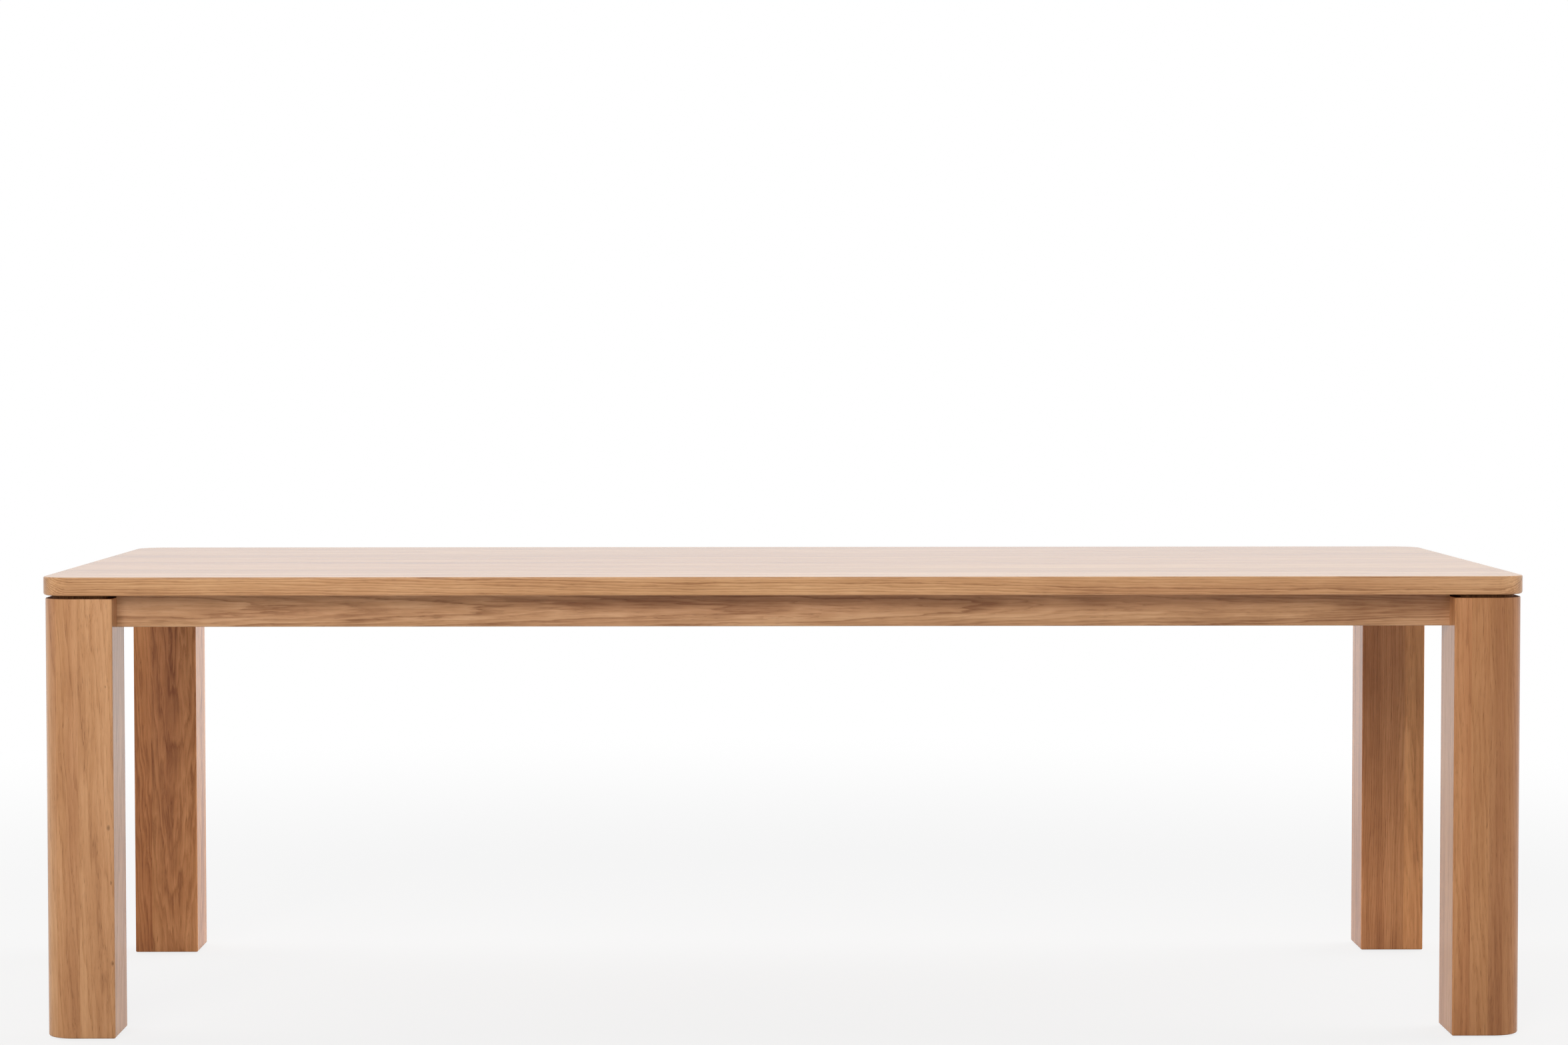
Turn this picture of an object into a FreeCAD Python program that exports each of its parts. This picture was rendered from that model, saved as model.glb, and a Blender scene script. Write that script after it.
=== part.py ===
import FreeCAD, Part
import math
import os

from FreeCAD import Vector

# Rectangular oak dining table on four square legs, each with one large round outer corner.
# A slim apron frame sits well back between the legs and a shadow gap parts the legs from the top.
# Millimetres, X along the table, Y across it with the front at -Y, Z up.
# The origin is on the floor under the middle of the table.

# Overall sizes
TABLE_LENGTH = 2400.0
TABLE_WIDTH = 1000.0
TABLE_HEIGHT = 750.0

# Top, a panel of edge-glued boards
TOP_THICKNESS = 30.0
TOP_CORNER_RADIUS = 50.0
TOP_UPPER_ARRIS = 2.5
TOP_LOWER_ARRIS = 4.0
BOARD_COUNT = 8

# Legs, with a set-back neck that carries the top and a flat on the inner corner for the bolts
LEG_SIDE = 115.0
LEG_INSET = 3.0
LEG_ARRIS = 3.0
LEG_FOOT_ARRIS = 2.4
LEG_SHOULDER_ARRIS = 1.0
FOOT_ARRIS_LIMIT_SHARE = 0.8
SHADOW_GAP = 5.0
SHADOW_DEPTH = 12.0
CORNER_FLAT = 24.0
CORNER_FLAT_BELOW_BRACKET = 3.0

# Aprons, centred on the legs, with round-ended stub tenons
APRON_HEIGHT = 53.0
APRON_THICKNESS = 25.0
APRON_ARRIS = 2.0
TENON_LENGTH = 25.0
TENON_THICKNESS = 12.0
TENON_LOWER_SHOULDER = 10.0
TENON_UPPER_SHOULDER = 15.0
MORTISE_SPARE_DEPTH = 2.0

# Saw kerf along the inside of the aprons for the clips
KERF_BELOW_TOP = 10.0
KERF_WIDTH = 3.0
KERF_DEPTH = 9.0

# Cross bearers between the long aprons, with slots that let the top swell and shrink
BEARER_WIDTH = 60.0
BEARER_HEIGHT = 40.0
BEARER_ARRIS = 2.0
BEARER_PLACE_SHARES = (-1 / 6, 1 / 6)
BEARER_TENON_LENGTH = 10.0
BEARER_TENON_WIDTH = 40.0
BEARER_TENON_THICKNESS = 12.0
BEARER_TENON_DROP_SHARE = 0.62
SLOT_PLACE_SHARES = (-0.3125, -0.0625, 0.0625, 0.3125)
SLOT_WIDTH = 6.0
SLOT_LENGTH = 14.0
SLOT_SEAT_WIDTH = 14.0
SLOT_SEAT_LENGTH = 22.0
SLOT_SEAT_DEPTH = 15.0

# Steel corner brackets
BRACKET_THICKNESS = 3.0
BRACKET_HEIGHT = 40.0
BRACKET_BELOW_TOP = 6.5
BRACKET_FLANGE = 35.0
BRACKET_BEND_RADIUS = 3.0
BRACKET_STANDOFF = 6.0
BRACKET_SCREW_FROM_BEND = 20.0
BRACKET_SCREW_SPACING = 20.0

# Hanger bolts with their washers and nuts, two to a leg
BOLT_RADIUS = 4.0
BOLT_IN_LEG = 50.0
BOLT_POINT = 6.0
BOLT_END_CHAMFER = 1.0
BOLT_SPACING = 22.0
BOLT_PAST_NUT = 3.0
WASHER_RADIUS = 8.0
WASHER_THICKNESS = 1.6
NUT_ACROSS_FLATS = 13.0
NUT_HEIGHT = 6.5

# Clips that hold the top to the aprons
CLIP_THICKNESS = 1.6
CLIP_WIDTH = 20.0
CLIP_REACH_IN_KERF = 7.0
CLIP_STANDOFF = 6.0
CLIP_FLANGE = 22.0
CLIP_BEND_RADIUS = 1.2
LONG_CLIP_PLACE_SHARES = (-0.42, -0.25, 0.0, 0.25, 0.42)

END_CLIP_PLACE_SHARES = (-0.1875, 0.1875)

# Wood screws for the brackets and clips, and larger ones for the bearers
SCREW_RADIUS = 2.0
SCREW_HEAD_RADIUS = 4.0
SCREW_HEAD_HEIGHT = 2.6
BEARER_SCREW_RADIUS = 2.5
BEARER_SCREW_HEAD_RADIUS = 6.0
BEARER_SCREW_HEAD_HEIGHT = 3.5
SCREW_POINT = 4.0
HEAD_CROWN_SHARE = 0.6
HEAD_BRIM_SHARE = 0.4
APRON_LEFT_PAST_SCREW = 7.0
TOP_LEFT_PAST_SCREW = 14.0

# Glides under the legs
GLIDE_RADIUS = 20.0
GLIDE_THICKNESS = 3.0
GLIDE_EDGE_CHAMFER = 1.0
GLIDE_PEG_RADIUS = 4.0
GLIDE_PEG_LENGTH = 18.0

# Fits
TENON_CLEARANCE = 0.2
BORE_CLEARANCE = 0.1
HOLE_CLEARANCE = 0.5
OVERRUN = 1.0
SAME_PLACE = 0.01

# Sizes worked out from the driving ones
UNDERSIDE = TABLE_HEIGHT - TOP_THICKNESS
LEG_SHOULDER = UNDERSIDE - SHADOW_GAP
LEG_CORNER_RADIUS = TOP_CORNER_RADIUS - LEG_INSET
APRON_SETBACK = (LEG_SIDE - APRON_THICKNESS) / 2
APRON_INNER = APRON_SETBACK + APRON_THICKNESS
APRON_BOTTOM = UNDERSIDE - APRON_HEIGHT
BOARD_WIDTH = TABLE_WIDTH / BOARD_COUNT
LONG_APRON_LENGTH = TABLE_LENGTH - 2 * (LEG_INSET + LEG_SIDE)
END_APRON_LENGTH = TABLE_WIDTH - 2 * (LEG_INSET + LEG_SIDE)
LONG_APRON_OUT = TABLE_WIDTH / 2 - LEG_INSET - APRON_SETBACK
END_APRON_OUT = TABLE_LENGTH / 2 - LEG_INSET - APRON_SETBACK
TENON_HEIGHT = APRON_HEIGHT - TENON_LOWER_SHOULDER - TENON_UPPER_SHOULDER
TENON_MIDDLE = UNDERSIDE - TENON_UPPER_SHOULDER - TENON_HEIGHT / 2
KERF_TOP = UNDERSIDE - KERF_BELOW_TOP
BEARER_BOTTOM = UNDERSIDE - BEARER_HEIGHT
BEARER_LENGTH = 2 * (LONG_APRON_OUT - APRON_THICKNESS)
BEARER_TENON_MIDDLE = UNDERSIDE - BEARER_HEIGHT * BEARER_TENON_DROP_SHARE
SLOT_SEAT = BEARER_BOTTOM + SLOT_SEAT_DEPTH
BRACKET_TOP = UNDERSIDE - BRACKET_BELOW_TOP
BRACKET_BOTTOM = BRACKET_TOP - BRACKET_HEIGHT
BRACKET_MIDDLE = (BRACKET_TOP + BRACKET_BOTTOM) / 2
APRON_SCREW_BITE = APRON_THICKNESS - APRON_LEFT_PAST_SCREW
TOP_SCREW_BITE = TOP_THICKNESS - TOP_LEFT_PAST_SCREW
BOLT_HEIGHTS = (BRACKET_MIDDLE - BOLT_SPACING / 2, BRACKET_MIDDLE + BOLT_SPACING / 2)
BRACKET_SCREW_HEIGHTS = (
    BRACKET_MIDDLE - BRACKET_SCREW_SPACING / 2,
    BRACKET_MIDDLE + BRACKET_SCREW_SPACING / 2,
)

# The flat on the leg and the bracket's slanting plate in plan, each by the sum of x and y on it
ROOT_TWO = math.sqrt(2)
FLAT_SUM = 2 * LEG_SIDE - CORNER_FLAT
PLATE_LEG_SUM = FLAT_SUM + BRACKET_STANDOFF * ROOT_TWO
PLATE_ROOM_SUM = PLATE_LEG_SUM + BRACKET_THICKNESS * ROOT_TWO
BEND_PLACE = PLATE_LEG_SUM - APRON_INNER
BRACKET_SCREW_PLACE = BEND_PLACE + BRACKET_SCREW_FROM_BEND
BOLT_OUTSIDE = BRACKET_STANDOFF + BRACKET_THICKNESS + WASHER_THICKNESS + NUT_HEIGHT + BOLT_PAST_NUT

X_AXIS = Vector(1, 0, 0)
Y_AXIS = Vector(0, 1, 0)
Z_AXIS = Vector(0, 0, 1)
ORIGIN = Vector(0, 0, 0)
OUT_OF_LEG = Vector(1, 1, 0).normalize()

# The corners and the sides, each in order round the table by quarter turns from the first
CORNERS = ("front_left", "front_right", "rear_right", "rear_left")
SIDES = ("front", "right", "rear", "left")
LONG_SIDES = ("front", "rear")


# Shared shapes

def block(low, high):
    """A plain box between two corners."""
    size = high - low
    return Part.makeBox(size.x, size.y, size.z, low)


def quarter_arc(centre, radius, start_angle):
    """A quarter circle in plan, from its start angle in degrees."""
    points = []
    for angle in (start_angle, start_angle + 45, start_angle + 90):
        turn = math.radians(angle)
        points.append(centre + Vector(math.cos(turn), math.sin(turn), 0) * radius)
    return Part.Arc(*points).toShape()


def rounded_block(low, high, radii):
    """A box whose four upright edges have these radii, counted from the low corner round."""
    corners = [(low.x, low.y, 1, 1), (high.x, low.y, -1, 1), (high.x, high.y, -1, -1), (low.x, high.y, 1, -1)]
    arcs = []
    for index, (x, y, inward_x, inward_y) in enumerate(corners):
        centre = Vector(x + inward_x * radii[index], y + inward_y * radii[index], low.z)
        arcs.append(quarter_arc(centre, radii[index], 180 + 90 * index))
    edges = []
    for arc, following in zip(arcs, arcs[1:] + arcs[:1]):
        edges.append(arc)
        edges.append(Part.makeLine(arc.Vertexes[-1].Point, following.Vertexes[0].Point))
    return Part.Face(Part.Wire(edges)).extrude(Z_AXIS * (high.z - low.z))


def round_ended(centre, along, across, length, width, depth):
    """A round-ended bar section about centre, run out by depth along the cross product of its axes."""
    run = along * ((length - width) / 2)
    tip = along * (width / 2)
    side = across * (width / 2)
    edges = [
        Part.makeLine(centre - run - side, centre + run - side),
        Part.Arc(centre + run - side, centre + run + tip, centre + run + side).toShape(),
        Part.makeLine(centre + run + side, centre - run + side),
        Part.Arc(centre - run + side, centre - run - tip, centre - run - side).toShape(),
    ]
    return Part.Face(Part.Wire(edges)).extrude(along.cross(across) * depth)


def outline_prism(points, direction):
    """A straight-sided outline carried along a direction."""
    return Part.Face(Part.makePolygon(points + points[:1])).extrude(direction)


def stood(solid, base, axis):
    """A solid made about Z from the origin, stood on base along axis."""
    solid.Placement = FreeCAD.Placement(base, FreeCAD.Rotation(Z_AXIS, axis))
    return solid


def turned(profile, base, axis):
    """A turned solid: an outline of (radius, height) points spun about Z and stood on base."""
    points = [Vector(radius, 0, height) for radius, height in profile]
    face = Part.Face(Part.makePolygon(points + points[:1]))
    return stood(face.revolve(ORIGIN, Z_AXIS, 360), base, axis)


def bore(radius, depth, base, axis):
    """A round cutter that starts an overrun before base and goes depth along axis."""
    return Part.makeCylinder(radius, depth + OVERRUN, base - axis * OVERRUN, axis)


def edges_through(shape, points):
    """The straight edges whose line, seen along the edge, passes through one of the points."""
    found = []
    for edge in shape.Edges:
        ends = [vertex.Point for vertex in edge.Vertexes]
        direction = (ends[-1] - ends[0]).normalize()
        for point in points:
            if point.distanceToLine(ends[0], direction) < SAME_PLACE:
                found.append(edge)
                break
    return found


def edges_at_height(shape, height):
    """The edges that lie level at one height."""
    return [
        edge for edge in shape.Edges
        if max(abs(vertex.Z - height) for vertex in edge.Vertexes) < SAME_PLACE
    ]


def at_corner(shape, corner):
    """A copy of a corner piece, made with the leg's outer edge on Z, carried to its corner."""
    sign_x = 1 if "right" in corner else -1
    sign_y = 1 if "rear" in corner else -1
    copy = shape.copy()
    copy.rotate(ORIGIN, Z_AXIS, 90 * CORNERS.index(corner))
    copy.translate(Vector(sign_x * (TABLE_LENGTH / 2 - LEG_INSET), sign_y * (TABLE_WIDTH / 2 - LEG_INSET), 0))
    return copy


def at_side(shape, side):
    """A copy of a side piece, made with the apron's outer face on the XZ plane, carried to its side."""
    out = LONG_APRON_OUT if side in LONG_SIDES else END_APRON_OUT
    copy = shape.copy()
    copy.translate(Vector(0, -out, 0))
    copy.rotate(ORIGIN, Z_AXIS, 90 * SIDES.index(side))
    return copy


# Fasteners

def screw(radius, head_radius, head_height, length, seat, axis):
    """A wood screw with a low crowned head, its head's underside on seat and its point along axis."""
    profile = [
        (0, -head_height),
        (head_radius * HEAD_CROWN_SHARE, -head_height),
        (head_radius, -head_height * HEAD_BRIM_SHARE),
        (head_radius, 0),
        (radius, 0),
        (radius, length - SCREW_POINT),
        (0, length),
    ]
    return turned(profile, seat, axis)


def bracket_screws():
    """The screws of one corner's bracket, two through each flange."""
    seat = APRON_INNER + BRACKET_THICKNESS
    length = BRACKET_THICKNESS + APRON_SCREW_BITE
    sizes = (SCREW_RADIUS, SCREW_HEAD_RADIUS, SCREW_HEAD_HEIGHT, length)
    screws = []
    for height in BRACKET_SCREW_HEIGHTS:
        screws.append(screw(*sizes, Vector(BRACKET_SCREW_PLACE, seat, height), -Y_AXIS))
        screws.append(screw(*sizes, Vector(seat, BRACKET_SCREW_PLACE, height), -X_AXIS))
    return screws


def on_bolt_line(distance, height):
    """The point on a bolt's line at a distance out from the flat on the leg."""
    return Vector(FLAT_SUM / 2, FLAT_SUM / 2, height) + OUT_OF_LEG * distance


def hanger_bolt(height):
    """A headless bolt: a pointed end in the leg and a plain end out through the bracket."""
    length = BOLT_IN_LEG + BOLT_OUTSIDE
    profile = [
        (0, 0),
        (BOLT_RADIUS, BOLT_POINT),
        (BOLT_RADIUS, length - BOLT_END_CHAMFER),
        (BOLT_RADIUS - BOLT_END_CHAMFER, length),
        (0, length),
    ]
    return turned(profile, on_bolt_line(-BOLT_IN_LEG, height), OUT_OF_LEG)


def washer(height):
    """A flat washer against the bracket's plate."""
    hole = BOLT_RADIUS + HOLE_CLEARANCE
    profile = [(hole, 0), (WASHER_RADIUS, 0), (WASHER_RADIUS, WASHER_THICKNESS), (hole, WASHER_THICKNESS)]
    return turned(profile, on_bolt_line(BRACKET_STANDOFF + BRACKET_THICKNESS, height), OUT_OF_LEG)


def nut(height):
    """A hexagon nut on the washer."""
    reach = NUT_ACROSS_FLATS / math.sqrt(3)
    angles = [math.radians(60 * index) for index in range(6)]
    hexagon = outline_prism(
        [Vector(reach * math.cos(angle), reach * math.sin(angle), 0) for angle in angles],
        Z_AXIS * NUT_HEIGHT,
    )
    hexagon = hexagon.cut(bore(BOLT_RADIUS + BORE_CLEARANCE, NUT_HEIGHT + OVERRUN, ORIGIN, Z_AXIS))
    seat = BRACKET_STANDOFF + BRACKET_THICKNESS + WASHER_THICKNESS
    return stood(hexagon, on_bolt_line(seat, height), OUT_OF_LEG)


# Legs and glides

def leg():
    """A square post with one large round outer corner, a set-back neck, mortises and bolt bores."""
    radii = [LEG_CORNER_RADIUS, LEG_ARRIS, LEG_ARRIS, LEG_ARRIS]
    post = rounded_block(Vector(0, 0, GLIDE_THICKNESS), Vector(LEG_SIDE, LEG_SIDE, LEG_SHOULDER), radii)
    foot_round = min(LEG_FOOT_ARRIS, LEG_ARRIS * FOOT_ARRIS_LIMIT_SHARE)
    shoulder_round = min(LEG_SHOULDER_ARRIS, LEG_ARRIS * FOOT_ARRIS_LIMIT_SHARE)
    post = post.makeFillet(foot_round, edges_at_height(post, GLIDE_THICKNESS))
    post = post.makeFillet(shoulder_round, edges_at_height(post, LEG_SHOULDER))
    post = post.fuse(leg_neck())
    cutters = [corner_flat(), glide_bore()] + leg_mortises() + bolt_bores()
    return post.cut(cutters).removeSplitter()


def leg_neck():
    """The part of the leg behind the shadow gap, which carries the top."""
    low = Vector(SHADOW_DEPTH, SHADOW_DEPTH, LEG_SHOULDER - OVERRUN)
    high = Vector(LEG_SIDE - SHADOW_DEPTH, LEG_SIDE - SHADOW_DEPTH, UNDERSIDE)
    return rounded_block(low, high, [LEG_CORNER_RADIUS - SHADOW_DEPTH, LEG_ARRIS, LEG_ARRIS, LEG_ARRIS])


def leg_mortises():
    """The cutters for the two aprons' tenons, one in each inner face."""
    length = TENON_HEIGHT + 2 * TENON_CLEARANCE
    width = TENON_THICKNESS + 2 * TENON_CLEARANCE
    depth = TENON_LENGTH + MORTISE_SPARE_DEPTH + OVERRUN
    face = LEG_SIDE + OVERRUN
    middle = LEG_SIDE / 2
    return [
        round_ended(Vector(face, middle, TENON_MIDDLE), Z_AXIS, Y_AXIS, length, width, depth),
        round_ended(Vector(middle, face, TENON_MIDDLE), Z_AXIS, -X_AXIS, length, width, depth),
    ]


def corner_flat():
    """The cutter for the flat on the leg's inner corner, which faces the bracket."""
    bottom = BRACKET_BOTTOM - CORNER_FLAT_BELOW_BRACKET
    far = LEG_SIDE + OVERRUN
    near = FLAT_SUM - far
    points = [Vector(far, near, bottom), Vector(far, far, bottom), Vector(near, far, bottom)]
    return outline_prism(points, Z_AXIS * (UNDERSIDE + OVERRUN - bottom))


def bolt_bores():
    """The cutters for the hanger bolts."""
    radius = BOLT_RADIUS + BORE_CLEARANCE
    return [bore(radius, BOLT_IN_LEG + BORE_CLEARANCE, on_bolt_line(0, height), -OUT_OF_LEG)
            for height in BOLT_HEIGHTS]


def glide_bore():
    """The cutter for the glide's peg, up the middle of the foot."""
    foot = Vector(LEG_SIDE / 2, LEG_SIDE / 2, GLIDE_THICKNESS)
    return bore(GLIDE_PEG_RADIUS + BORE_CLEARANCE, GLIDE_PEG_LENGTH + BORE_CLEARANCE, foot, Z_AXIS)


def glide():
    """A round glide with a chamfered rim and a peg up into the leg."""
    top = GLIDE_THICKNESS + GLIDE_PEG_LENGTH
    profile = [
        (0, 0),
        (GLIDE_RADIUS - GLIDE_EDGE_CHAMFER, 0),
        (GLIDE_RADIUS, GLIDE_EDGE_CHAMFER),
        (GLIDE_RADIUS, GLIDE_THICKNESS),
        (GLIDE_PEG_RADIUS, GLIDE_THICKNESS),
        (GLIDE_PEG_RADIUS, top - GLIDE_EDGE_CHAMFER),
        (GLIDE_PEG_RADIUS - GLIDE_EDGE_CHAMFER, top),
        (0, top),
    ]
    return turned(profile, Vector(LEG_SIDE / 2, LEG_SIDE / 2, 0), Z_AXIS)


# Corner brackets

def bracket():
    """A bent steel strip: a slanting plate for the bolts and a flange along each apron."""
    contact = APRON_INNER
    room = APRON_INNER + BRACKET_THICKNESS
    flange_end = BEND_PLACE + BRACKET_FLANGE
    room_bend = PLATE_ROOM_SUM - room
    outline = [
        (flange_end, contact),
        (BEND_PLACE, contact),
        (contact, BEND_PLACE),
        (contact, flange_end),
        (room, flange_end),
        (room, room_bend),
        (room_bend, room),
        (flange_end, room),
    ]
    points = [Vector(x, y, BRACKET_BOTTOM) for x, y in outline]
    strip = outline_prism(points, Z_AXIS * BRACKET_HEIGHT)
    outer_radius = BRACKET_BEND_RADIUS + BRACKET_THICKNESS
    strip = strip.makeFillet(outer_radius, edges_through(strip, upright_corners(points[1:3])))
    strip = strip.makeFillet(BRACKET_BEND_RADIUS, edges_through(strip, upright_corners(points[5:7])))
    return strip.cut(bracket_holes())


def upright_corners(points):
    """Points halfway up the bracket above these outline points."""
    return [Vector(point.x, point.y, BRACKET_MIDDLE) for point in points]


def bracket_holes():
    """The cutters for the bolts through the plate and the screws through the flanges."""
    holes = []
    for height in BOLT_HEIGHTS:
        start = on_bolt_line(BRACKET_STANDOFF, height)
        holes.append(bore(BOLT_RADIUS + HOLE_CLEARANCE, BRACKET_THICKNESS + OVERRUN, start, OUT_OF_LEG))
    radius = SCREW_RADIUS + HOLE_CLEARANCE
    depth = BRACKET_THICKNESS + OVERRUN
    for height in BRACKET_SCREW_HEIGHTS:
        holes.append(bore(radius, depth, Vector(BRACKET_SCREW_PLACE, APRON_INNER, height), Y_AXIS))
        holes.append(bore(radius, depth, Vector(APRON_INNER, BRACKET_SCREW_PLACE, height), X_AXIS))
    return holes


# Aprons

def apron(length, bearer_places):
    """A rail with softened lower edges, a tenon at each end, a clip kerf and bearer mortises."""
    half = length / 2
    rail = block(Vector(-half, 0, APRON_BOTTOM), Vector(half, APRON_THICKNESS, UNDERSIDE))
    lower = [Vector(0, 0, APRON_BOTTOM), Vector(0, APRON_THICKNESS, APRON_BOTTOM)]
    rail = rail.makeFillet(APRON_ARRIS, edges_through(rail, lower))
    cutters = [apron_kerf(half)] + apron_pilots(half)
    cutters += [bearer_mortise(place) for place in bearer_places]
    return rail.fuse(apron_tenons(half)).cut(cutters).removeSplitter()


def apron_tenons(half):
    """The round-ended tenons at the two ends of an apron."""
    tenons = []
    for end, across in ((-1, Y_AXIS), (1, -Y_AXIS)):
        root = Vector(end * (half - OVERRUN), APRON_THICKNESS / 2, TENON_MIDDLE)
        depth = TENON_LENGTH + OVERRUN
        tenons.append(round_ended(root, Z_AXIS, across, TENON_HEIGHT, TENON_THICKNESS, depth))
    return tenons


def apron_kerf(half):
    """The cutter for the saw kerf along the apron's inner face."""
    low = Vector(-half - OVERRUN, APRON_THICKNESS - KERF_DEPTH, KERF_TOP - KERF_WIDTH)
    return block(low, Vector(half + OVERRUN, APRON_THICKNESS + OVERRUN, KERF_TOP))


def apron_pilots(half):
    """The cutters for the bracket screws at both ends of an apron."""
    from_middle = half - (BRACKET_SCREW_PLACE - LEG_SIDE)
    radius = SCREW_RADIUS + BORE_CLEARANCE
    depth = APRON_SCREW_BITE + BORE_CLEARANCE
    return [
        bore(radius, depth, Vector(end * from_middle, APRON_THICKNESS, height), -Y_AXIS)
        for end in (-1, 1)
        for height in BRACKET_SCREW_HEIGHTS
    ]


def bearer_mortise(place):
    """The cutter for a bearer's tenon in the apron's inner face."""
    return round_ended(
        Vector(place, APRON_THICKNESS + OVERRUN, BEARER_TENON_MIDDLE),
        X_AXIS,
        Z_AXIS,
        BEARER_TENON_WIDTH + 2 * TENON_CLEARANCE,
        BEARER_TENON_THICKNESS + 2 * TENON_CLEARANCE,
        BEARER_TENON_LENGTH + MORTISE_SPARE_DEPTH + OVERRUN,
    )


# Cross bearers

def slot_places():
    """Where the slots lie across the table, each under the middle of a board."""
    return [share * TABLE_WIDTH for share in SLOT_PLACE_SHARES]


def bearer():
    """A cross rail with a tenon at each end and slotted, recessed screw holes, on X = 0."""
    half_width = BEARER_WIDTH / 2
    half = BEARER_LENGTH / 2
    rail = block(Vector(-half_width, -half, BEARER_BOTTOM), Vector(half_width, half, UNDERSIDE))
    lower = [Vector(-half_width, 0, BEARER_BOTTOM), Vector(half_width, 0, BEARER_BOTTOM)]
    rail = rail.makeFillet(BEARER_ARRIS, edges_through(rail, lower))
    return rail.fuse(bearer_tenons(half)).cut(bearer_slots()).removeSplitter()


def bearer_tenons(half):
    """The flat round-ended tenons at the two ends of a bearer."""
    tenons = []
    for end, across in ((-1, Z_AXIS), (1, -Z_AXIS)):
        root = Vector(0, end * (half - OVERRUN), BEARER_TENON_MIDDLE)
        depth = BEARER_TENON_LENGTH + OVERRUN
        tenons.append(round_ended(root, X_AXIS, across, BEARER_TENON_WIDTH, BEARER_TENON_THICKNESS, depth))
    return tenons


def bearer_slots():
    """The cutters for the slots along a bearer and the recesses for the screw heads under them."""
    slots = []
    for place in slot_places():
        start = Vector(0, place, BEARER_BOTTOM - OVERRUN)
        through = BEARER_HEIGHT + 2 * OVERRUN
        slots.append(round_ended(start, Y_AXIS, -X_AXIS, SLOT_LENGTH, SLOT_WIDTH, through))
        recess = SLOT_SEAT_DEPTH + OVERRUN
        slots.append(round_ended(start, Y_AXIS, -X_AXIS, SLOT_SEAT_LENGTH, SLOT_SEAT_WIDTH, recess))
    return slots


def bearer_screws():
    """The screws of one bearer, up through its slots into the top."""
    length = UNDERSIDE - SLOT_SEAT + TOP_SCREW_BITE
    sizes = (BEARER_SCREW_RADIUS, BEARER_SCREW_HEAD_RADIUS, BEARER_SCREW_HEAD_HEIGHT, length)
    return [screw(*sizes, Vector(0, place, SLOT_SEAT), Z_AXIS) for place in slot_places()]


# Clips under the top

def clip_places(side):
    """Where the clips lie along an apron, from its middle."""
    if side in LONG_SIDES:
        return [share * LONG_APRON_LENGTH for share in LONG_CLIP_PLACE_SHARES]
    return [share * TABLE_WIDTH for share in END_CLIP_PLACE_SHARES]


def clip_screw_point(place, height):
    """A point on a clip screw's line, in the middle of the clip's flange."""
    return Vector(place, APRON_THICKNESS + CLIP_STANDOFF + (CLIP_THICKNESS + CLIP_FLANGE) / 2, height)


def clip(place):
    """A bent steel clip: a tongue in the kerf, a web beside the apron and a flange under the top."""
    web = APRON_THICKNESS + CLIP_STANDOFF
    tip = APRON_THICKNESS - CLIP_REACH_IN_KERF
    end = web + CLIP_FLANGE
    outline = [
        (tip, KERF_TOP),
        (web, KERF_TOP),
        (web, UNDERSIDE),
        (end, UNDERSIDE),
        (end, UNDERSIDE - CLIP_THICKNESS),
        (web + CLIP_THICKNESS, UNDERSIDE - CLIP_THICKNESS),
        (web + CLIP_THICKNESS, KERF_TOP - CLIP_THICKNESS),
        (tip, KERF_TOP - CLIP_THICKNESS),
    ]
    points = [Vector(place - CLIP_WIDTH / 2, y, z) for y, z in outline]
    strip = outline_prism(points, X_AXIS * CLIP_WIDTH)
    outer_radius = CLIP_BEND_RADIUS + CLIP_THICKNESS
    strip = strip.makeFillet(CLIP_BEND_RADIUS, clip_bends(strip, points, (1, 5)))
    strip = strip.makeFillet(outer_radius, clip_bends(strip, points, (2, 6)))
    start = clip_screw_point(place, UNDERSIDE - CLIP_THICKNESS)
    return strip.cut(bore(SCREW_RADIUS + HOLE_CLEARANCE, CLIP_THICKNESS + OVERRUN, start, Z_AXIS))


def clip_bends(strip, points, indices):
    """The edges of a clip at these outline points, found half a width along."""
    return edges_through(strip, [points[index] + X_AXIS * (CLIP_WIDTH / 2) for index in indices])


def clip_screw(place):
    """The screw of one clip, up through its flange into the top."""
    seat = clip_screw_point(place, UNDERSIDE - CLIP_THICKNESS)
    length = CLIP_THICKNESS + TOP_SCREW_BITE
    return screw(SCREW_RADIUS, SCREW_HEAD_RADIUS, SCREW_HEAD_HEIGHT, length, seat, Z_AXIS)


# Top

def top_boards():
    """The boards of the top: one softened slab with its screw pilots, parted along the glue lines."""
    half_length = TABLE_LENGTH / 2
    half_width = TABLE_WIDTH / 2
    low = Vector(-half_length, -half_width, UNDERSIDE)
    slab = rounded_block(low, Vector(half_length, half_width, TABLE_HEIGHT), [TOP_CORNER_RADIUS] * 4)
    slab = slab.makeFillet(TOP_UPPER_ARRIS, edges_at_height(slab, TABLE_HEIGHT))
    slab = slab.makeFillet(TOP_LOWER_ARRIS, edges_at_height(slab, UNDERSIDE))
    slab = slab.cut(top_pilots())
    boards = []
    for index in range(BOARD_COUNT):
        front = index * BOARD_WIDTH - half_width
        strip = block(
            Vector(-half_length - OVERRUN, front, UNDERSIDE - OVERRUN),
            Vector(half_length + OVERRUN, front + BOARD_WIDTH, TABLE_HEIGHT + OVERRUN),
        )
        boards.append(slab.common(strip).Solids[0])
    return boards


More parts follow.
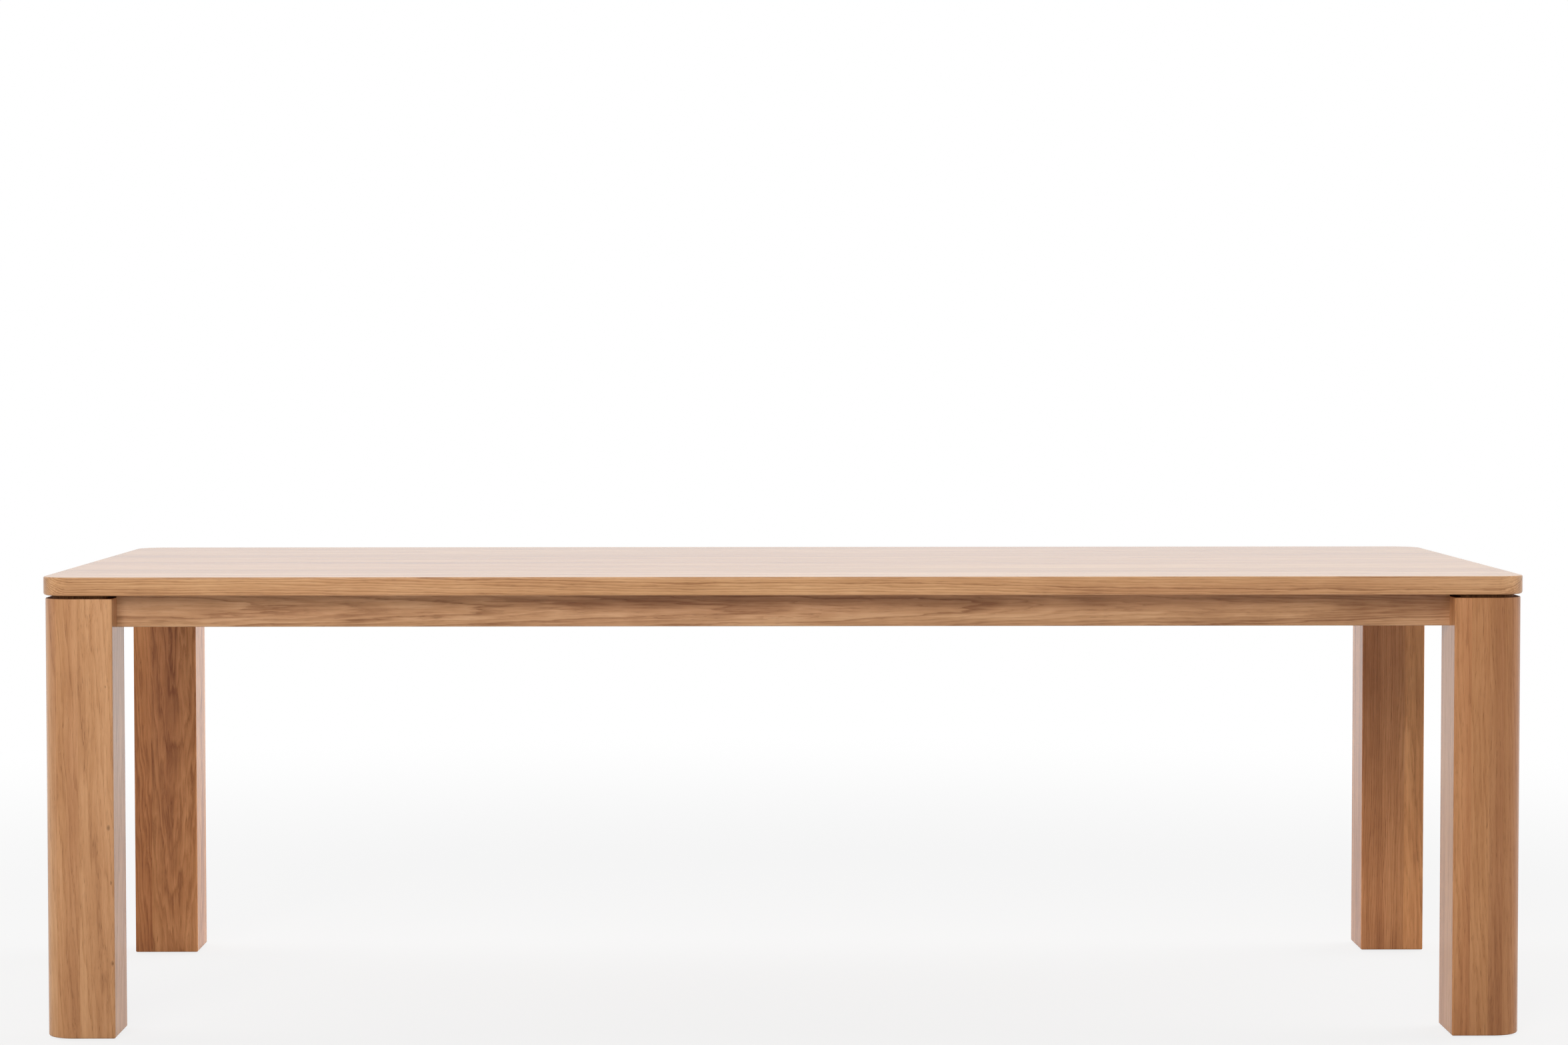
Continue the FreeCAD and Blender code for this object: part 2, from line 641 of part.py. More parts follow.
def top_pilots():
    """The cutters for the clip and bearer screws in the underside of the top."""
    depth = TOP_SCREW_BITE + BORE_CLEARANCE
    pilots = []
    for side in SIDES:
        for place in clip_places(side):
            start = clip_screw_point(place, UNDERSIDE)
            pilots.append(at_side(bore(SCREW_RADIUS + BORE_CLEARANCE, depth, start, Z_AXIS), side))
    for share in BEARER_PLACE_SHARES:
        for place in slot_places():
            start = Vector(share * LONG_APRON_LENGTH, place, UNDERSIDE)
            pilots.append(bore(BEARER_SCREW_RADIUS + BORE_CLEARANCE, depth, start, Z_AXIS))
    return pilots


# The table, piece by piece

def build_table():
    """Every node of the table by name, each a list of separate solids."""
    nodes = {}
    for index, board in enumerate(top_boards()):
        nodes["top_board_%d" % (index + 1)] = [board]
    bearer_places = [share * LONG_APRON_LENGTH for share in BEARER_PLACE_SHARES]
    add_corner_pieces(nodes)
    add_side_pieces(nodes, bearer_places)
    add_bearers(nodes, bearer_places)
    return nodes


def add_corner_pieces(nodes):
    """Legs, glides and brackets, one to a corner, and the fasteners of all four corners."""
    for name, make in (("leg", leg), ("glide", glide), ("corner_bracket", bracket)):
        piece = make()
        for corner in CORNERS:
            nodes["%s_%s" % (name, corner)] = [at_corner(piece, corner)]
    for name, make in (("hanger_bolts", hanger_bolt), ("bolt_washers", washer), ("bolt_nuts", nut)):
        pieces = [make(height) for height in BOLT_HEIGHTS]
        nodes[name] = [at_corner(piece, corner) for corner in CORNERS for piece in pieces]
    screws = bracket_screws()
    nodes["bracket_screws"] = [at_corner(piece, corner) for corner in CORNERS for piece in screws]


def add_side_pieces(nodes, bearer_places):
    """Aprons, one to a side, and the clips and clip screws of all four sides."""
    aprons = {"long": apron(LONG_APRON_LENGTH, bearer_places), "end": apron(END_APRON_LENGTH, [])}
    nodes["top_clips"] = []
    nodes["clip_screws"] = []
    for side in SIDES:
        kind = "long" if side in LONG_SIDES else "end"
        nodes["apron_" + side] = [at_side(aprons[kind], side)]
        for place in clip_places(side):
            nodes["top_clips"].append(at_side(clip(place), side))
            nodes["clip_screws"].append(at_side(clip_screw(place), side))


def add_bearers(nodes, bearer_places):
    """The cross bearers from left to right, and their screws."""
    nodes["bearer_screws"] = []
    for name, place in zip(("left", "right"), bearer_places):
        shift = X_AXIS * place
        nodes["cross_bearer_" + name] = [bearer().translated(shift)]
        nodes["bearer_screws"] += [piece.translated(shift) for piece in bearer_screws()]


os.makedirs("parts", exist_ok=True)
for node, solids in build_table().items():
    shape = solids[0] if len(solids) == 1 else Part.makeCompound(solids)
    shape.exportStep("parts/%s.step" % node)
    print("%s: %d solids, %.0f mm3, valid %s" % (node, len(solids), shape.Volume, shape.isValid()))
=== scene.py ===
# %% [markdown]
# An oak dining table: a thick panel of eight glued boards on four square legs, each with one round outer
# corner. The measured model of the table is loaded first, as a frame that never moves. This lesson then
# gives the table its looks: finer wood surfaces, grain, metal finishes, light and a camera.

import math

import bpy
import numpy as np
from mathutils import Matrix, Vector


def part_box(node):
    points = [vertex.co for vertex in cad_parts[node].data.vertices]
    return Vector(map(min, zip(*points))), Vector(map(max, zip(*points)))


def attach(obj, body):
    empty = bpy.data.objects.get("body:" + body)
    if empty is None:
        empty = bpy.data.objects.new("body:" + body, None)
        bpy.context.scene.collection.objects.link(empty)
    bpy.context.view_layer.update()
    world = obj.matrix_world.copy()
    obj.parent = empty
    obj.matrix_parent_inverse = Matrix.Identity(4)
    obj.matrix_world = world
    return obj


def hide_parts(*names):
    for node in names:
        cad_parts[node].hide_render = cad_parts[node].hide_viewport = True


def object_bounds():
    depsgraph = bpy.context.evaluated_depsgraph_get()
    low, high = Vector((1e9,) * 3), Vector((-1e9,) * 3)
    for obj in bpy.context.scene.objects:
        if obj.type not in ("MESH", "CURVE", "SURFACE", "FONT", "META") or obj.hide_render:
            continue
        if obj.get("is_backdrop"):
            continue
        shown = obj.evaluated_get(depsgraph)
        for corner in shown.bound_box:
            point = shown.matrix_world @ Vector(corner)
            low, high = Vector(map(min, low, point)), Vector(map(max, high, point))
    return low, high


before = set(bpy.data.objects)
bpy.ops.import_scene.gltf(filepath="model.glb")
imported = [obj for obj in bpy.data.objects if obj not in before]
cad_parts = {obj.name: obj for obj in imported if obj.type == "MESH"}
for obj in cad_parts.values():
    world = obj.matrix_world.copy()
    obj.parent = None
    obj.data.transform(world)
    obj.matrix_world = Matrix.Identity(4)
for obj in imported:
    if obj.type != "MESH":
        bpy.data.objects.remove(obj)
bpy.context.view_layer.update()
scene = bpy.context.scene
scene.view_settings.view_transform = "Standard"

# %% [markdown]
# The camera stands well back from the middle of the long side, a little above the top, with a long lens.
# Standing that far away keeps the legs nearly upright in the picture. Its place was worked out from the
# edges of the table in the photograph, so it is written as plain numbers and not aimed by a constraint.

# %% Camera
CAMERA_PLACE = (-0.05549, -6.34794, 1.08197)
CAMERA_YAW, CAMERA_PITCH, CAMERA_ROLL = math.radians(0.5358), math.radians(-2.3913), math.radians(0.0266)
LENS, SENSOR = 83.543, 36.0

lens = bpy.data.cameras.new("camera")
lens.lens, lens.sensor_width, lens.sensor_fit = LENS, SENSOR, "HORIZONTAL"
camera = bpy.data.objects.new("camera", lens)
camera.location = CAMERA_PLACE
camera.rotation_euler = (math.pi / 2 + CAMERA_PITCH, CAMERA_ROLL, -CAMERA_YAW)
scene.collection.objects.link(camera)
scene.camera = camera
print("camera:", round(math.dist(CAMERA_PLACE, (0, 0, CAMERA_PLACE[2])), 2), "m from the table's middle")

# %% [markdown]
# A colour is easiest to write as a screen shows it, as three numbers from 0 to 255. A shader wants amounts
# of light, which don't rise in step with those numbers, so one small function turns the first into the
# second.

# %% Colours
WHITE = (1.0, 1.0, 1.0, 1.0)
BRIGHTEST, NEAR_BLACK, BLACK_SLOPE, CURVE_SHIFT, CURVE_POWER = 255, 0.04045, 12.92, 0.055, 2.4


def paint(red, green, blue):
    """A colour as a screen shows it, 0 to 255, turned into amounts of light by the screen's own curve,
    which is a straight line near black and a power of 2.4 above it."""
    shown = np.array([red, green, blue]) / BRIGHTEST
    curve = ((shown + CURVE_SHIFT) / (1 + CURVE_SHIFT)) ** CURVE_POWER
    linear = np.where(shown <= NEAR_BLACK, shown / BLACK_SLOPE, curve)
    return (*linear.tolist(), 1.0)


print("a mid honey of 190, 140, 100 is", [round(v, 3) for v in paint(190, 140, 100)[:3]], "as light")

# %% [markdown]
# A material is a small network of nodes. Making each node by hand takes several lines, so this helper adds
# one step at a time and hands back the socket that holds the step's result. The next step can then take it
# as an input, and a recipe for wood or steel reads from top to bottom like a sum. The room's light is such
# a network too.

# %% A recipe of nodes
class Recipe:
    """A network of nodes, added one step at a time. Each step returns the socket with its result."""

    def __init__(self, tree):
        self.tree = tree

    def feed(self, socket, value):
        """Links a socket to a result, or sets it to a plain value."""
        if isinstance(value, bpy.types.NodeSocket):
            self.tree.links.new(value, socket)
        else:
            socket.default_value = value

    def node(self, kind, inputs, **settings):
        """A node of this kind with its settings and inputs, which are named or numbered."""
        node = self.tree.nodes.new("ShaderNode" + kind)
        for name, value in settings.items():
            setattr(node, name, value)
        for key, value in inputs.items():
            self.feed(node.inputs[key], value)
        return node

    def maths(self, operation, *values):
        return self.node("Math", dict(enumerate(values)), operation=operation).outputs[0]

    def vector(self, operation, *values):
        node = self.node("VectorMath", dict(enumerate(values)), operation=operation)
        return node.outputs["Value" if operation in ("LENGTH", "DOT_PRODUCT") else "Vector"]

    def place(self, where, location=(0, 0, 0), rotation=(0, 0, 0)):
        return self.node("Mapping", {"Vector": where, "Location": location, "Rotation": rotation}).outputs[0]

    def noise(self, where, stretch, detail=1.0, roughness=0.5, output="Fac"):
        """Soft random clouds, with stretch giving how many clouds there are to a metre each way."""
        scaled = self.vector("MULTIPLY", where, stretch)
        inputs = {"Vector": scaled, "Scale": 1.0, "Detail": detail, "Roughness": roughness}
        return self.node("TexNoise", inputs).outputs[output]

    def between(self, value, low, high, first=0.0, last=1.0):
        """Goes smoothly from first to last as value goes from low to high, and stays there outside."""
        inputs = {"Value": value, "From Min": low, "From Max": high, "To Min": first, "To Max": last}
        return self.node("MapRange", inputs, interpolation_type="SMOOTHSTEP").outputs[0]

    def ramp(self, value, stops, interpolation="LINEAR"):
        """A strip of colours read at value. A stop is a place from 0 to 1 and a colour or a grey."""
        node = self.node("ValToRGB", {0: value})
        strip = node.color_ramp
        strip.interpolation = interpolation
        while len(strip.elements) < len(stops):
            strip.elements.new(0.5)
        for element, (at, colour) in zip(strip.elements, stops):
            element.position = at
            element.color = colour if isinstance(colour, tuple) else (colour, colour, colour, 1.0)
        return node.outputs[0]

    def blend(self, share, first, second, way="MIX"):
        node = self.node("Mix", {0: share, 6: first, 7: second}, data_type="RGBA", blend_type=way)
        return node.outputs[2]

    def seen_by(self, *kinds):
        """1 for rays of these kinds and 0 for all others, such as the ones that only carry light."""
        path, share = self.node("LightPath", {}), 0.0
        for kind in kinds:
            share = self.maths("MAXIMUM", path.outputs[f"Is {kind} Ray"], share)
        return share

    def mixed(self, share, first, second):
        """Two shaders mixed: the first where share is 0, the second where it is 1."""
        return self.node("MixShader", {0: share, 1: first, 2: second}).outputs[0]

    def show(self, surface):
        self.tree.links.new(surface, self.tree.get_output_node("ALL").inputs["Surface"])


print("recipe steps:", [step for step in vars(Recipe) if not step.startswith("_")])

# %% [markdown]
# A finish is the recipe of one material. It starts with the material's shader and with the piece's own
# coordinates, so that a pattern stays with its piece. It adds the two steps that only a surface has: relief,
# and values for the shader.

# %% A finish
class Finish(Recipe):
    """A material's network, with its shader and the piece's own coordinates at hand."""

    def __init__(self, name):
        self.material = bpy.data.materials.new(name)
        self.material.use_nodes = True
        super().__init__(self.material.node_tree)
        self.shader = self.tree.nodes["Principled BSDF"]
        self.where = self.node("TexCoord", {}).outputs["Object"]

    def relief(self, height, strength, depth):
        return self.node("Bump", {"Height": height, "Strength": strength, "Distance": depth}).outputs[0]

    def shine(self, **values):
        """Sets or links the shader's own sockets."""
        for name, value in values.items():
            self.feed(self.shader.inputs[name.replace("_", " ")], value)


print("finish steps:", [step for step in vars(Finish) if not step.startswith("_")])

# %% [markdown]
# The table stands in what a product photograph has: a white room with one large soft lamp from the front
# left. The room's light is the world. Its side walls are bright behind the table and dim in front of it, so
# the inner sides of the legs get their share and the recesses under the top stay dark. The right wall is
# the brighter one, because the lamp doesn't reach the sides that face it. The rear wall and the ceiling are
# dimmer than the side walls. A Light Path node shows the room as pure white to the camera and in
# reflections and keeps it at a plain level as light, so the white ground costs no extra light on the wood.

# %% Room
FRONT_LIGHT, SIDE_LIGHT, SIDE_FROM, SIDE_FULL = 0.10, 5.2, -0.15, 0.10
REAR_SHARE, REAR_FROM, REAR_FULL = 0.25, 0.30, 0.9
CEILING_SHARE, CEILING_FROM, CEILING_FULL = 0.28, 0.05, 0.45
RIGHT_SHARE, RIGHT_FROM, RIGHT_FULL = 1.6, 0.1, 0.7

world = bpy.data.worlds.new("white_room")
world.use_nodes = True
scene.world = world
room = Recipe(world.node_tree)
direction = room.node("TexCoord", {}).outputs["Generated"]
sideways, backward, upward = room.node("SeparateXYZ", {0: direction}).outputs
level = room.between(backward, SIDE_FROM, SIDE_FULL, FRONT_LIGHT, SIDE_LIGHT)
level = room.maths("MULTIPLY", level, room.between(backward, REAR_FROM, REAR_FULL, 1.0, REAR_SHARE))
level = room.maths("MULTIPLY", level, room.between(upward, CEILING_FROM, CEILING_FULL, 1.0, CEILING_SHARE))
level = room.maths("MULTIPLY", level, room.between(sideways, RIGHT_FROM, RIGHT_FULL, 1.0, RIGHT_SHARE))
as_light = room.node("Background", {"Color": WHITE, "Strength": level}).outputs[0]
as_seen = room.node("Background", {"Color": WHITE, "Strength": 1.0}).outputs[0]
room.show(room.mixed(room.seen_by("Camera", "Glossy", "Transmission"), as_light, as_seen))
print("room light from", FRONT_LIGHT, "in front to", SIDE_LIGHT, "at the sides towards the rear")

# %% [markdown]
# The lamp is a large rectangle, so the shadow that the top throws on the aprons and on the rear legs has a
# soft edge. It stands to the left, which leaves the right end of the table a little darker than the left.

# %% Lamp
KEY_PLACE, KEY_AIM = (-1.5, -6.95, 3.4), (0.0, 0.0, 0.4)
KEY_SIZE, KEY_POWER = (4.0, 3.0), 310.0

lamp = bpy.data.lights.new("key", "AREA")
lamp.shape, lamp.size, lamp.size_y, lamp.energy = "RECTANGLE", *KEY_SIZE, KEY_POWER
key = bpy.data.objects.new("key", lamp)
key.location = KEY_PLACE
aim = Vector(KEY_AIM) - Vector(KEY_PLACE)
key.rotation_euler = aim.to_track_quat("-Z", "Y").to_euler()
scene.collection.objects.link(key)
print("key lamp", round(aim.length, 2), "m away")

# %% [markdown]
# The floor is a plain pale sheet that keeps the table's soft shadow. Far from the table it turns into the
# same white as the room, so no horizon shows. The turn is a blend by distance from the middle, done in the
# floor's own material. Reflections keep more of the floor's real shade near the table. Seen from below, the
# sheet is clear, so that the underside of the table can be looked at.

# %% Floor
FLOOR_HALF = 40.0
FADE_START, FADE_END, NEAR_WHITE, NEAR_MIRRORED = 1.6, 4.5, 0.82, 0.5
PAPER_CLOUDS, PAPER_DARK, PAPER_PALE, PAPER_ROUGH = (900, 900, 900), 0.60, 0.64, 0.9
CLOUD_SPAN = (0.3, 0.7)  # most of a cloud's values lie between these

sheet = bpy.data.meshes.new("floor")
square = np.array([(-1, -1, 0), (1, -1, 0), (1, 1, 0), (-1, 1, 0)]) * FLOOR_HALF
sheet.from_pydata(square.tolist(), [], [(0, 1, 2, 3)])
floor = bpy.data.objects.new("floor", sheet)
scene.collection.objects.link(floor)
floor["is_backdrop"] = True

pale = Finish("floor_white")
paper = pale.ramp(pale.noise(pale.where, PAPER_CLOUDS), list(zip(CLOUD_SPAN, (PAPER_DARK, PAPER_PALE))))
pale.shine(Base_Color=paper, Roughness=PAPER_ROUGH, Specular_IOR_Level=0.0)
away = pale.between(pale.vector("LENGTH", pale.where), FADE_START, FADE_END)
glow = pale.node("Emission", {"Color": WHITE, "Strength": 1.0}).outputs[0]
share = 0.0
for near, kinds in ((NEAR_WHITE, ["Camera"]), (NEAR_MIRRORED, ["Glossy", "Transmission"])):
    whiteness = pale.maths("MULTIPLY_ADD", away, 1 - near, near)
    share = pale.maths("MULTIPLY_ADD", whiteness, pale.seen_by(*kinds), share)
above = pale.mixed(share, pale.shader.outputs[0], glow)
below = pale.node("NewGeometry", {}).outputs["Backfacing"]
pale.show(pale.mixed(below, above, pale.node("BsdfTransparent", {}).outputs[0]))
sheet.materials.append(pale.material)
print("floor:", 2 * FLOOR_HALF, "m square, white beyond", FADE_END, "m")

# %% [markdown]
# Oak is drawn as a solid, the way it grows. A trunk is a stack of cones: every year adds a ring, and the
# rings lie a little further out at the foot than at the crown. A board is a slice of that. So the recipe
# measures how far a point lies from the heart of the trunk, adds a taper along the grain and some sway, and
# divides by the ring width. A flat slice through these cones shows the pointed arches of real boards by
# itself, the edges show straight lines, and the ends show arcs. Painting the same grain on each face could
# never make the faces agree.

# %% Oak: growth rings
GRAIN_TURN = {"X": (0, 0, 0), "Y": (0, 0, -math.pi / 2), "Z": (0, math.pi / 2, 0)}
SWAY, RIPPLE, SIDEWAYS = (1.2, 0.016), (7.0, 0.003), 5
YEAR_CLOUDS, YEAR_SPREAD, FRAY_CLOUDS, FRAY = 45.0, 2.2, (13.0, 190.0, 190.0), 1.5
RING, WEAKEST_YEAR = [(0.0, 0.72), (0.1, 1.0), (0.42, 0.42), (0.78, 0.02), (1.0, 0.72)], 0.25
MID_CLOUD = (0.5, 0.5, 0.5)


def grain_place(oak, axis, middle):
    """Object coordinates turned so that the grain runs along the first axis, counted from the piece's
    middle."""
    return oak.place(oak.vector("SUBTRACT", oak.where, middle), rotation=GRAIN_TURN[axis])


def swayed(oak, where, *pushes):
    """The grain's place pushed sideways by slow and by quick clouds, because no trunk is straight. Each
    push has so many clouds to a metre along the grain, and so large a shift."""
    bent = where
    for often, amount in pushes:
        clouds = oak.noise(where, (often, SIDEWAYS * often, SIDEWAYS * often), output="Color")
        offset = oak.vector("SUBTRACT", clouds, MID_CLOUD)
        bent = oak.vector("ADD", bent, oak.vector("MULTIPLY", offset, (0, amount, amount)))
    return bent


def growth(oak, bent, spacing, taper, push):
    """The number of rings from the heart: (distance from the heart + taper * along) / spacing + push. Wide
    and narrow years are a slow cloud added along that count, and streaks along the grain fray the edges
    of the rings. Returns the distance and the count."""
    across = oak.vector("LENGTH", oak.vector("MULTIPLY", bent, (0, 1, 1)))
    along = oak.node("SeparateXYZ", {0: bent}).outputs[0]
    radius = oak.maths("MULTIPLY_ADD", along, taper, across)
    slow = {"W": radius, "Scale": YEAR_CLOUDS, "Detail": 1.0}
    years = oak.node("TexNoise", slow, noise_dimensions="1D").outputs[0]
    count = oak.maths("MULTIPLY_ADD", years, YEAR_SPREAD, oak.maths("DIVIDE", radius, spacing))
    count = oak.maths("MULTIPLY_ADD", oak.noise(bent, FRAY_CLOUDS, detail=2.0), FRAY, count)
    return radius, oak.maths("ADD", count, push) if push else count


def porous_bands(oak, count):
    """How porous the wood is, 0 to 1: each ring starts with a porous band and closes slowly to dense wood.
    Each year has a band of its own strength."""
    band = oak.ramp(oak.maths("FRACT", count), RING)
    year = oak.node("TexWhiteNoise", {"W": oak.maths("FLOOR", count)}, noise_dimensions="1D").outputs["Value"]
    return oak.maths("MULTIPLY", band, oak.maths("MULTIPLY_ADD", year, 1 - WEAKEST_YEAR, WEAKEST_YEAR))


print("grain turns:", {axis: [round(math.degrees(v)) for v in turn] for axis, turn in GRAIN_TURN.items()})

# %% [markdown]
# Close up, oak has more marks. Fibres give fine streaks along the grain. Pores are short dark scratches
# that crowd into the porous bands. Rays are thin upright sheets that point at the heart: on a flat face
# they show as small dark dashes, and on a face that points at the heart as pale silky flecks. And the tone
# drifts: in streaks a finger wide, and in soft patches where the fibres lean another way. All of these are
# clouds stretched to the right shape, and the rays use the angle round the heart, so each face shows its
# own side of them.

# %% Oak: fibres, pores and rays
FIBRE_CLOUDS, PORE_CLOUDS, RAY_CLOUDS = (7.0, 430.0, 430.0), (60.0, 1700.0, 1700.0), (24.0, 190.0, 34.0)
PORE_EDGE, PORES_ELSEWHERE, RAY_EDGE = (0.60, 0.72), 0.15, (0.62, 0.74)
TONE_CLOUDS = [((1.6, 80.0, 80.0), 0.60), ((10.0, 24.0, 24.0), 0.35), ((1.0, 15.0, 15.0), 0.75)]
KNOT_LENGTH, KNOT_EYE = 0.55, 0.25


def fibres(oak, bent):
    """Streaks about 2 mm wide and a hand long, about 0."""
    return oak.maths("SUBTRACT", oak.noise(bent, FIBRE_CLOUDS, detail=3.0, roughness=0.62), MID_CLOUD[0])


def pores(oak, bent, porous):
    """Scratches about half a millimetre wide and 15 mm long, mostly in the porous bands."""
    scratch = oak.between(oak.noise(bent, PORE_CLOUDS, detail=0.0), *PORE_EDGE)
    crowded = oak.maths("MULTIPLY_ADD", porous, 1 - PORES_ELSEWHERE, PORES_ELSEWHERE)
    return oak.maths("MULTIPLY", scratch, crowded)


def rays(oak, bent, radius):
    """Sheets that stand along the grain and point at the heart: clouds of (along, angle, distance)."""
    along, side, up = oak.node("SeparateXYZ", {0: bent}).outputs
    angle = oak.maths("ARCTAN2", side, up)
    sheets = oak.node("CombineXYZ", {0: along, 1: angle, 2: radius}).outputs[0]
    return oak.between(oak.noise(sheets, RAY_CLOUDS), *RAY_EDGE)


def tone_drift(oak, bent, variety):
    """How much darker the wood is than usual, about 0: long streaks, soft patches and a slow drift, added
    up."""
    drift = -variety * sum(weight for _, weight in TONE_CLOUDS) / 2
    for clouds, weight in TONE_CLOUDS:
        cloud = oak.noise(bent, clouds, detail=3.0, roughness=0.55)
        drift = oak.maths("MULTIPLY_ADD", cloud, variety * weight, drift)
    return drift


def pin_knots(oak, where, places):
    """Small knots, 0 to 1: for each place, how near the point is, with the distance along the grain nearly
    halved."""
    near = 0.0
    for centre, size in places:
        offset = oak.vector("SUBTRACT", where, centre)
        offset = oak.vector("MULTIPLY", offset, (KNOT_LENGTH / size, 1 / size, 1 / size))
        near = oak.maths("MAXIMUM", near, oak.between(oak.vector("LENGTH", offset), 1.0, KNOT_EYE))
    return near


fibre_width, pore_width = (round(1000 / clouds[1], 1) for clouds in (FIBRE_CLOUDS, PORE_CLOUDS))
print("fibres about", fibre_width, "mm wide, pores about", pore_width, "mm")

# %% [markdown]
# A leg this thick is glued from a few staves, and each comes from another part of a trunk. Two strips of
# constant colours across the leg do that: one is read as a shift of the place in the trunk, the other as
# the stave's tone. So one material serves a whole leg, and the glue lines fall on every face where they
# would in the real one.

# %% Oak: glued staves
def glued_staves(oak, here, turned, tone, staves, span):
    """The place in the trunk and the tone, changed from stave to stave across a leg of this span."""
    strip = oak.maths("MULTIPLY_ADD", oak.node("SeparateXYZ", {0: here}).outputs[2], -1 / span, 0.5)
    shift = oak.ramp(strip, [(start, (*move, 1.0)) for start, move, _ in staves], "CONSTANT")
    tones = [(start, (*(t * s for t, s in zip(tone, own)), 1.0)) for start, _, own in staves]
    moved = oak.vector("ADD", turned, oak.vector("SUBTRACT", shift, MID_CLOUD))
    return moved, oak.ramp(strip, tones, "CONSTANT")


print("a stave starts at a share of the leg's width from its left side, seen from the front")

# %% [markdown]
# The colour comes last. Dense wood is pale honey and porous wood is brown, with slow drifts between golden
# and reddish along a board, and the ends drink more lacquer and turn darker. A satin lacquer lies over it:
# nearly clear looking straight down, and bright where the light grazes it, which is why the table's top
# looks almost white from low down. The shader's coat does that by itself.

# %% Oak: colour and lacquer
DENSE, HONEY, BROWN, DARK = paint(216, 170, 127), paint(189, 141, 99), paint(142, 95, 61), paint(88, 52, 30)
GOLD, RUSSET, HUE_CLOUDS = (1.03, 1.0, 0.90, 1), (0.98, 0.90, 0.84, 1), (0.7, 14.0, 14.0)
HONEY_AT, GOLD_AT, RUSSET_AT = 0.45, 0.35, 0.65
END_GRAIN, END_FACING = (0.74, 0.70, 0.66, 1), (0.55, 0.95)
AXIS_WAY = {"X": (1, 0, 0), "Y": (0, 1, 0), "Z": (0, 0, 1)}
WOOD_ROUGH, RING_ROUGH, PORE_ROUGH, WOOD_IOR, WOOD_GLOSS = 0.40, 0.07, 0.18, 1.5, 0.02
LEVEL, RING_SINK, FIBRE_RISE, GRAIN_BUMP, GRAIN_RELIEF = 0.5, 0.35, 0.4, 0.22, 0.0004
COAT, COAT_ROUGH, COAT_IOR = 0.76, 0.13, 1.3


def oak_colour(oak, bent, marks, depth, axis):
    """The wood's colour: depth runs from dense to porous wood, a slow cloud turns it from golden to russet,
    and each mark is blended over it. Faces that look along the grain are end grain and darker."""
    colour = oak.ramp(depth, [(0.0, DENSE), (HONEY_AT, HONEY), (1.0, BROWN)])
    hue = oak.ramp(oak.noise(bent, HUE_CLOUDS, detail=2.0), [(GOLD_AT, GOLD), (RUSSET_AT, RUSSET)])
    colour = oak.blend(1.0, colour, hue, "MULTIPLY")
    for mark, strength, over in marks:
        colour = oak.blend(oak.maths("MULTIPLY", mark, strength), colour, over)
    facing = oak.vector("DOT_PRODUCT", oak.node("NewGeometry", {}).outputs["Normal"], AXIS_WAY[axis])
    ends = oak.between(oak.maths("ABSOLUTE", facing), *END_FACING)
    return oak.blend(ends, colour, oak.blend(1.0, colour, END_GRAIN, "MULTIPLY"))


def lacquer(oak, colour, porous, streak, scratch):
    """Satin lacquer: rings and pores dull it and sink into it, and a clear coat lies on top."""
    roughness = oak.maths("MULTIPLY_ADD", porous, RING_ROUGH, WOOD_ROUGH)
    roughness = oak.maths("MULTIPLY_ADD", scratch, PORE_ROUGH, roughness)
    height = oak.maths("MULTIPLY_ADD", streak, FIBRE_RISE, LEVEL)
    height = oak.maths("MULTIPLY_ADD", porous, -RING_SINK, height)
    grain = oak.relief(oak.maths("SUBTRACT", height, scratch), GRAIN_BUMP, GRAIN_RELIEF)
    oak.shine(Base_Color=colour, Roughness=roughness, Normal=grain)
    oak.shine(IOR=WOOD_IOR, Specular_IOR_Level=WOOD_GLOSS)
    oak.shine(Coat_Weight=COAT, Coat_Roughness=COAT_ROUGH, Coat_IOR=COAT_IOR)


print("oak from", [round(v, 2) for v in DENSE[:3]], "to", [round(v, 2) for v in BROWN[:3]])

# %% [markdown]
# One function puts these steps in order and makes the material of one piece: its place in the trunk, the
# sway, the rings, the marks, the colour and the lacquer. What differs from piece to piece comes in as
# values: where the heart of the trunk lies, how wide the rings are, and how strong each mark is.

# %% Oak: the finish of one piece
RING_DEPTH, FIBRE_DEPTH, USUAL_DEPTH = 0.55, 0.45, 0.30
RAY_PALE, PORE_DARK, KNOT_DARK, KNOT_PUSH = 0.22, 0.45, 0.65, 1.6


